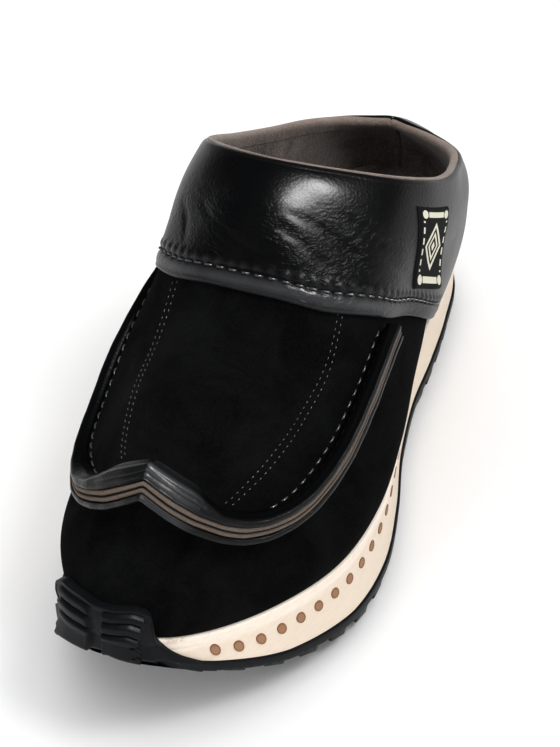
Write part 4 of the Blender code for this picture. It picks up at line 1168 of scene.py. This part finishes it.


# Holes along the wedge: a row punched through the wrapping, with the brown core showing. Each hole is a shallow disc
# with a ring of painted shade round its edge for its sunk look.
HOLE_PITCH = 0.0088
HOLES_A_SIDE = 17
HOLE_RADIUS = 0.00205
HOLE_DROP = 0.0078
CORE_BROWN = (0.42, 0.235, 0.135, 1.0)
# Dark tone for the crumb of the core and for the painted shade round each hole's edge.
CORE_CRUMB_AND_SHADE = (0.22, 0.110, 0.062, 1.0)
HOLE_PROFILE = [
    # share of the radius, lift off the wrapping, painted shade
    (0.0, -0.00012, 0.0), (0.55, -0.00008, 0.0), (0.86, 0.00002, 0.35), (0.97, 0.00014, 0.8), (1.04, -0.0002, 0.6),
]
core, tree, shader = new_material("punched_core", Roughness=0.85, Specular_IOR_Level=0.25)
crumb = calculate(tree, "MULTIPLY", noise(tree, 900.0, 4.0), 0.35)
rim_shade_and_crumb = calculate(tree, "ADD", read_mask(tree, "rim"), crumb, clamp=True)
tree.links.new(mix_color(tree, rim_shade_and_crumb, CORE_BROWN, CORE_CRUMB_AND_SHADE), shader.inputs["Base Color"])
walks = np.linspace(0.0, ROUND, 2081)
line = top_edge(walks)
lengths = lengths_along(line)
first_holes = np.interp([10.95, ROUND - 10.70], walks, lengths)
places = [first_holes[0] - k * HOLE_PITCH for k in range(HOLES_A_SIDE)]
places += [first_holes[1] + k * HOLE_PITCH for k in range(HOLES_A_SIDE)]
turn = np.linspace(0.0, 2.0 * math.pi, 21)
discs = []
for walk in np.interp(places, lengths, walks):
    low, high = foot_edge(walk), top_edge(walk)
    drop = min(HOLE_DROP, (high - low)[2] * 0.60)
    share = 1.0 - drop / (high - low)[2]
    out = outward(top_edge, walk)
    ahead = (wedge_side(walk + STEP, share) - wedge_side(walk - STEP, share)) / (2.0 * STEP)
    walk_reach = HOLE_RADIUS / np.linalg.norm(ahead)
    share_reach = HOLE_RADIUS / np.linalg.norm(high - low)
    discs.append(np.stack([wedge_side(walk + np.cos(turn) * r * walk_reach, share + np.sin(turn) * r * share_reach)
                           + out * (lift + 0.00018) for r, lift, _ in HOLE_PROFILE]))
rim_shade = np.array(HOLE_PROFILE)[:, 2:]
make_piece("punched_holes", discs, core, masks={"rim": [rim_shade] * len(discs)}, sharp=80.0)


# Label: a small patch of black woven tape sewn to the outer side of the collar, with a plain
# border and a lozenge woven in cream.
LABEL_WALL = 0.0008
LABEL_CORNERS = [
    # around, up
    (4.93, 0.185), (5.88, 0.165), (6.18, 0.815), (5.09, 0.800),
]
LABEL_SIZE = (0.026, 0.038)
CREAM = (0.74, 0.72, 0.60, 1.0)
TAPE = (0.0045, 0.0048, 0.0055, 1.0)
weave, tree, shader = new_material("woven_label", Roughness=0.8, Specular_IOR_Level=0.15)
spot = add_node(tree, "ShaderNodeTexCoord").outputs["Object"]
threads = noise(tree, 1600.0, 2.0, Vector=spot)
frayed = calculate(tree, "MULTIPLY", calculate(tree, "SUBTRACT", threads, 0.5), 0.5)
crisp = ranged(tree, calculate(tree, "ADD", read_mask(tree, "cream"), frayed), 0.38, 0.60)
tree.links.new(mix_color(tree, crisp, TAPE, CREAM), shader.inputs["Base Color"])
tree.links.new(raised(tree, threads, 0.0003, 0.6), shader.inputs["Normal"])


def label_surface(across, up, over):
    """Places on the label from 0 to 1 each way, lying on the collar."""
    low_back, low_front, high_front, high_back = (np.array(corner) for corner in LABEL_CORNERS)
    low = low_back + (low_front - low_back) * across[..., None]
    high = high_back + (high_front - high_back) * across[..., None]
    place = low + (high - low) * up[..., None]
    return on_collar(place[..., 0], place[..., 1], over)


across, up = np.meshgrid(np.linspace(0.0, 1.0, 131), np.linspace(0.0, 1.0, 181), indexing="ij")
from_side = np.minimum(across, 1.0 - across) * LABEL_SIZE[0]
from_end = np.minimum(up, 1.0 - up) * LABEL_SIZE[1]
from_middle = np.stack([(across - 0.5) * LABEL_SIZE[0], (up - 0.5) * LABEL_SIZE[1]], axis=-1)


def band(distance, half_width):
    """1 inside a woven band, 0 outside it, with one thread's blur."""
    return blend(half_width + 0.0002, half_width - 0.0002, np.abs(distance))


lozenge = np.abs(from_middle[..., 0]) * 1.45 + np.abs(from_middle[..., 1])
corner_dot = band(np.hypot(from_side - 0.0040, from_end - 0.0038), 0.0021)
end_bar = band(from_end - 0.0038, 0.0014) * band(from_middle[..., 0], 0.0064)
side_dash = band(from_side - 0.0030, 0.0007) * band((from_middle[..., 1] % 0.0050) - 0.0025, 0.0015)
side_dash = side_dash * band(from_middle[..., 1], 0.0120)
motif = [band(lozenge - 0.0102, 0.0013), band(lozenge - 0.0058, 0.0011), band(lozenge, 0.0024),
         corner_dot, end_bar, side_dash]
cream = np.max(motif, axis=0)
patch = label_surface(across, up, 0.0002 + LABEL_WALL * blend(0.0, 0.0012, np.minimum(from_side, from_end)))
under = label_surface(across, up, -0.0004)
rim_rows = [np.stack([patch[0], under[0]]), np.stack([patch[-1], under[-1]]),
            np.stack([patch[:, 0], under[:, 0]]), np.stack([patch[:, -1], under[:, -1]])]
make_piece("label_tape", [patch] + rim_rows, weave, ["label"],
           {"cream": [cream] + [0.0] * len(rim_rows)})
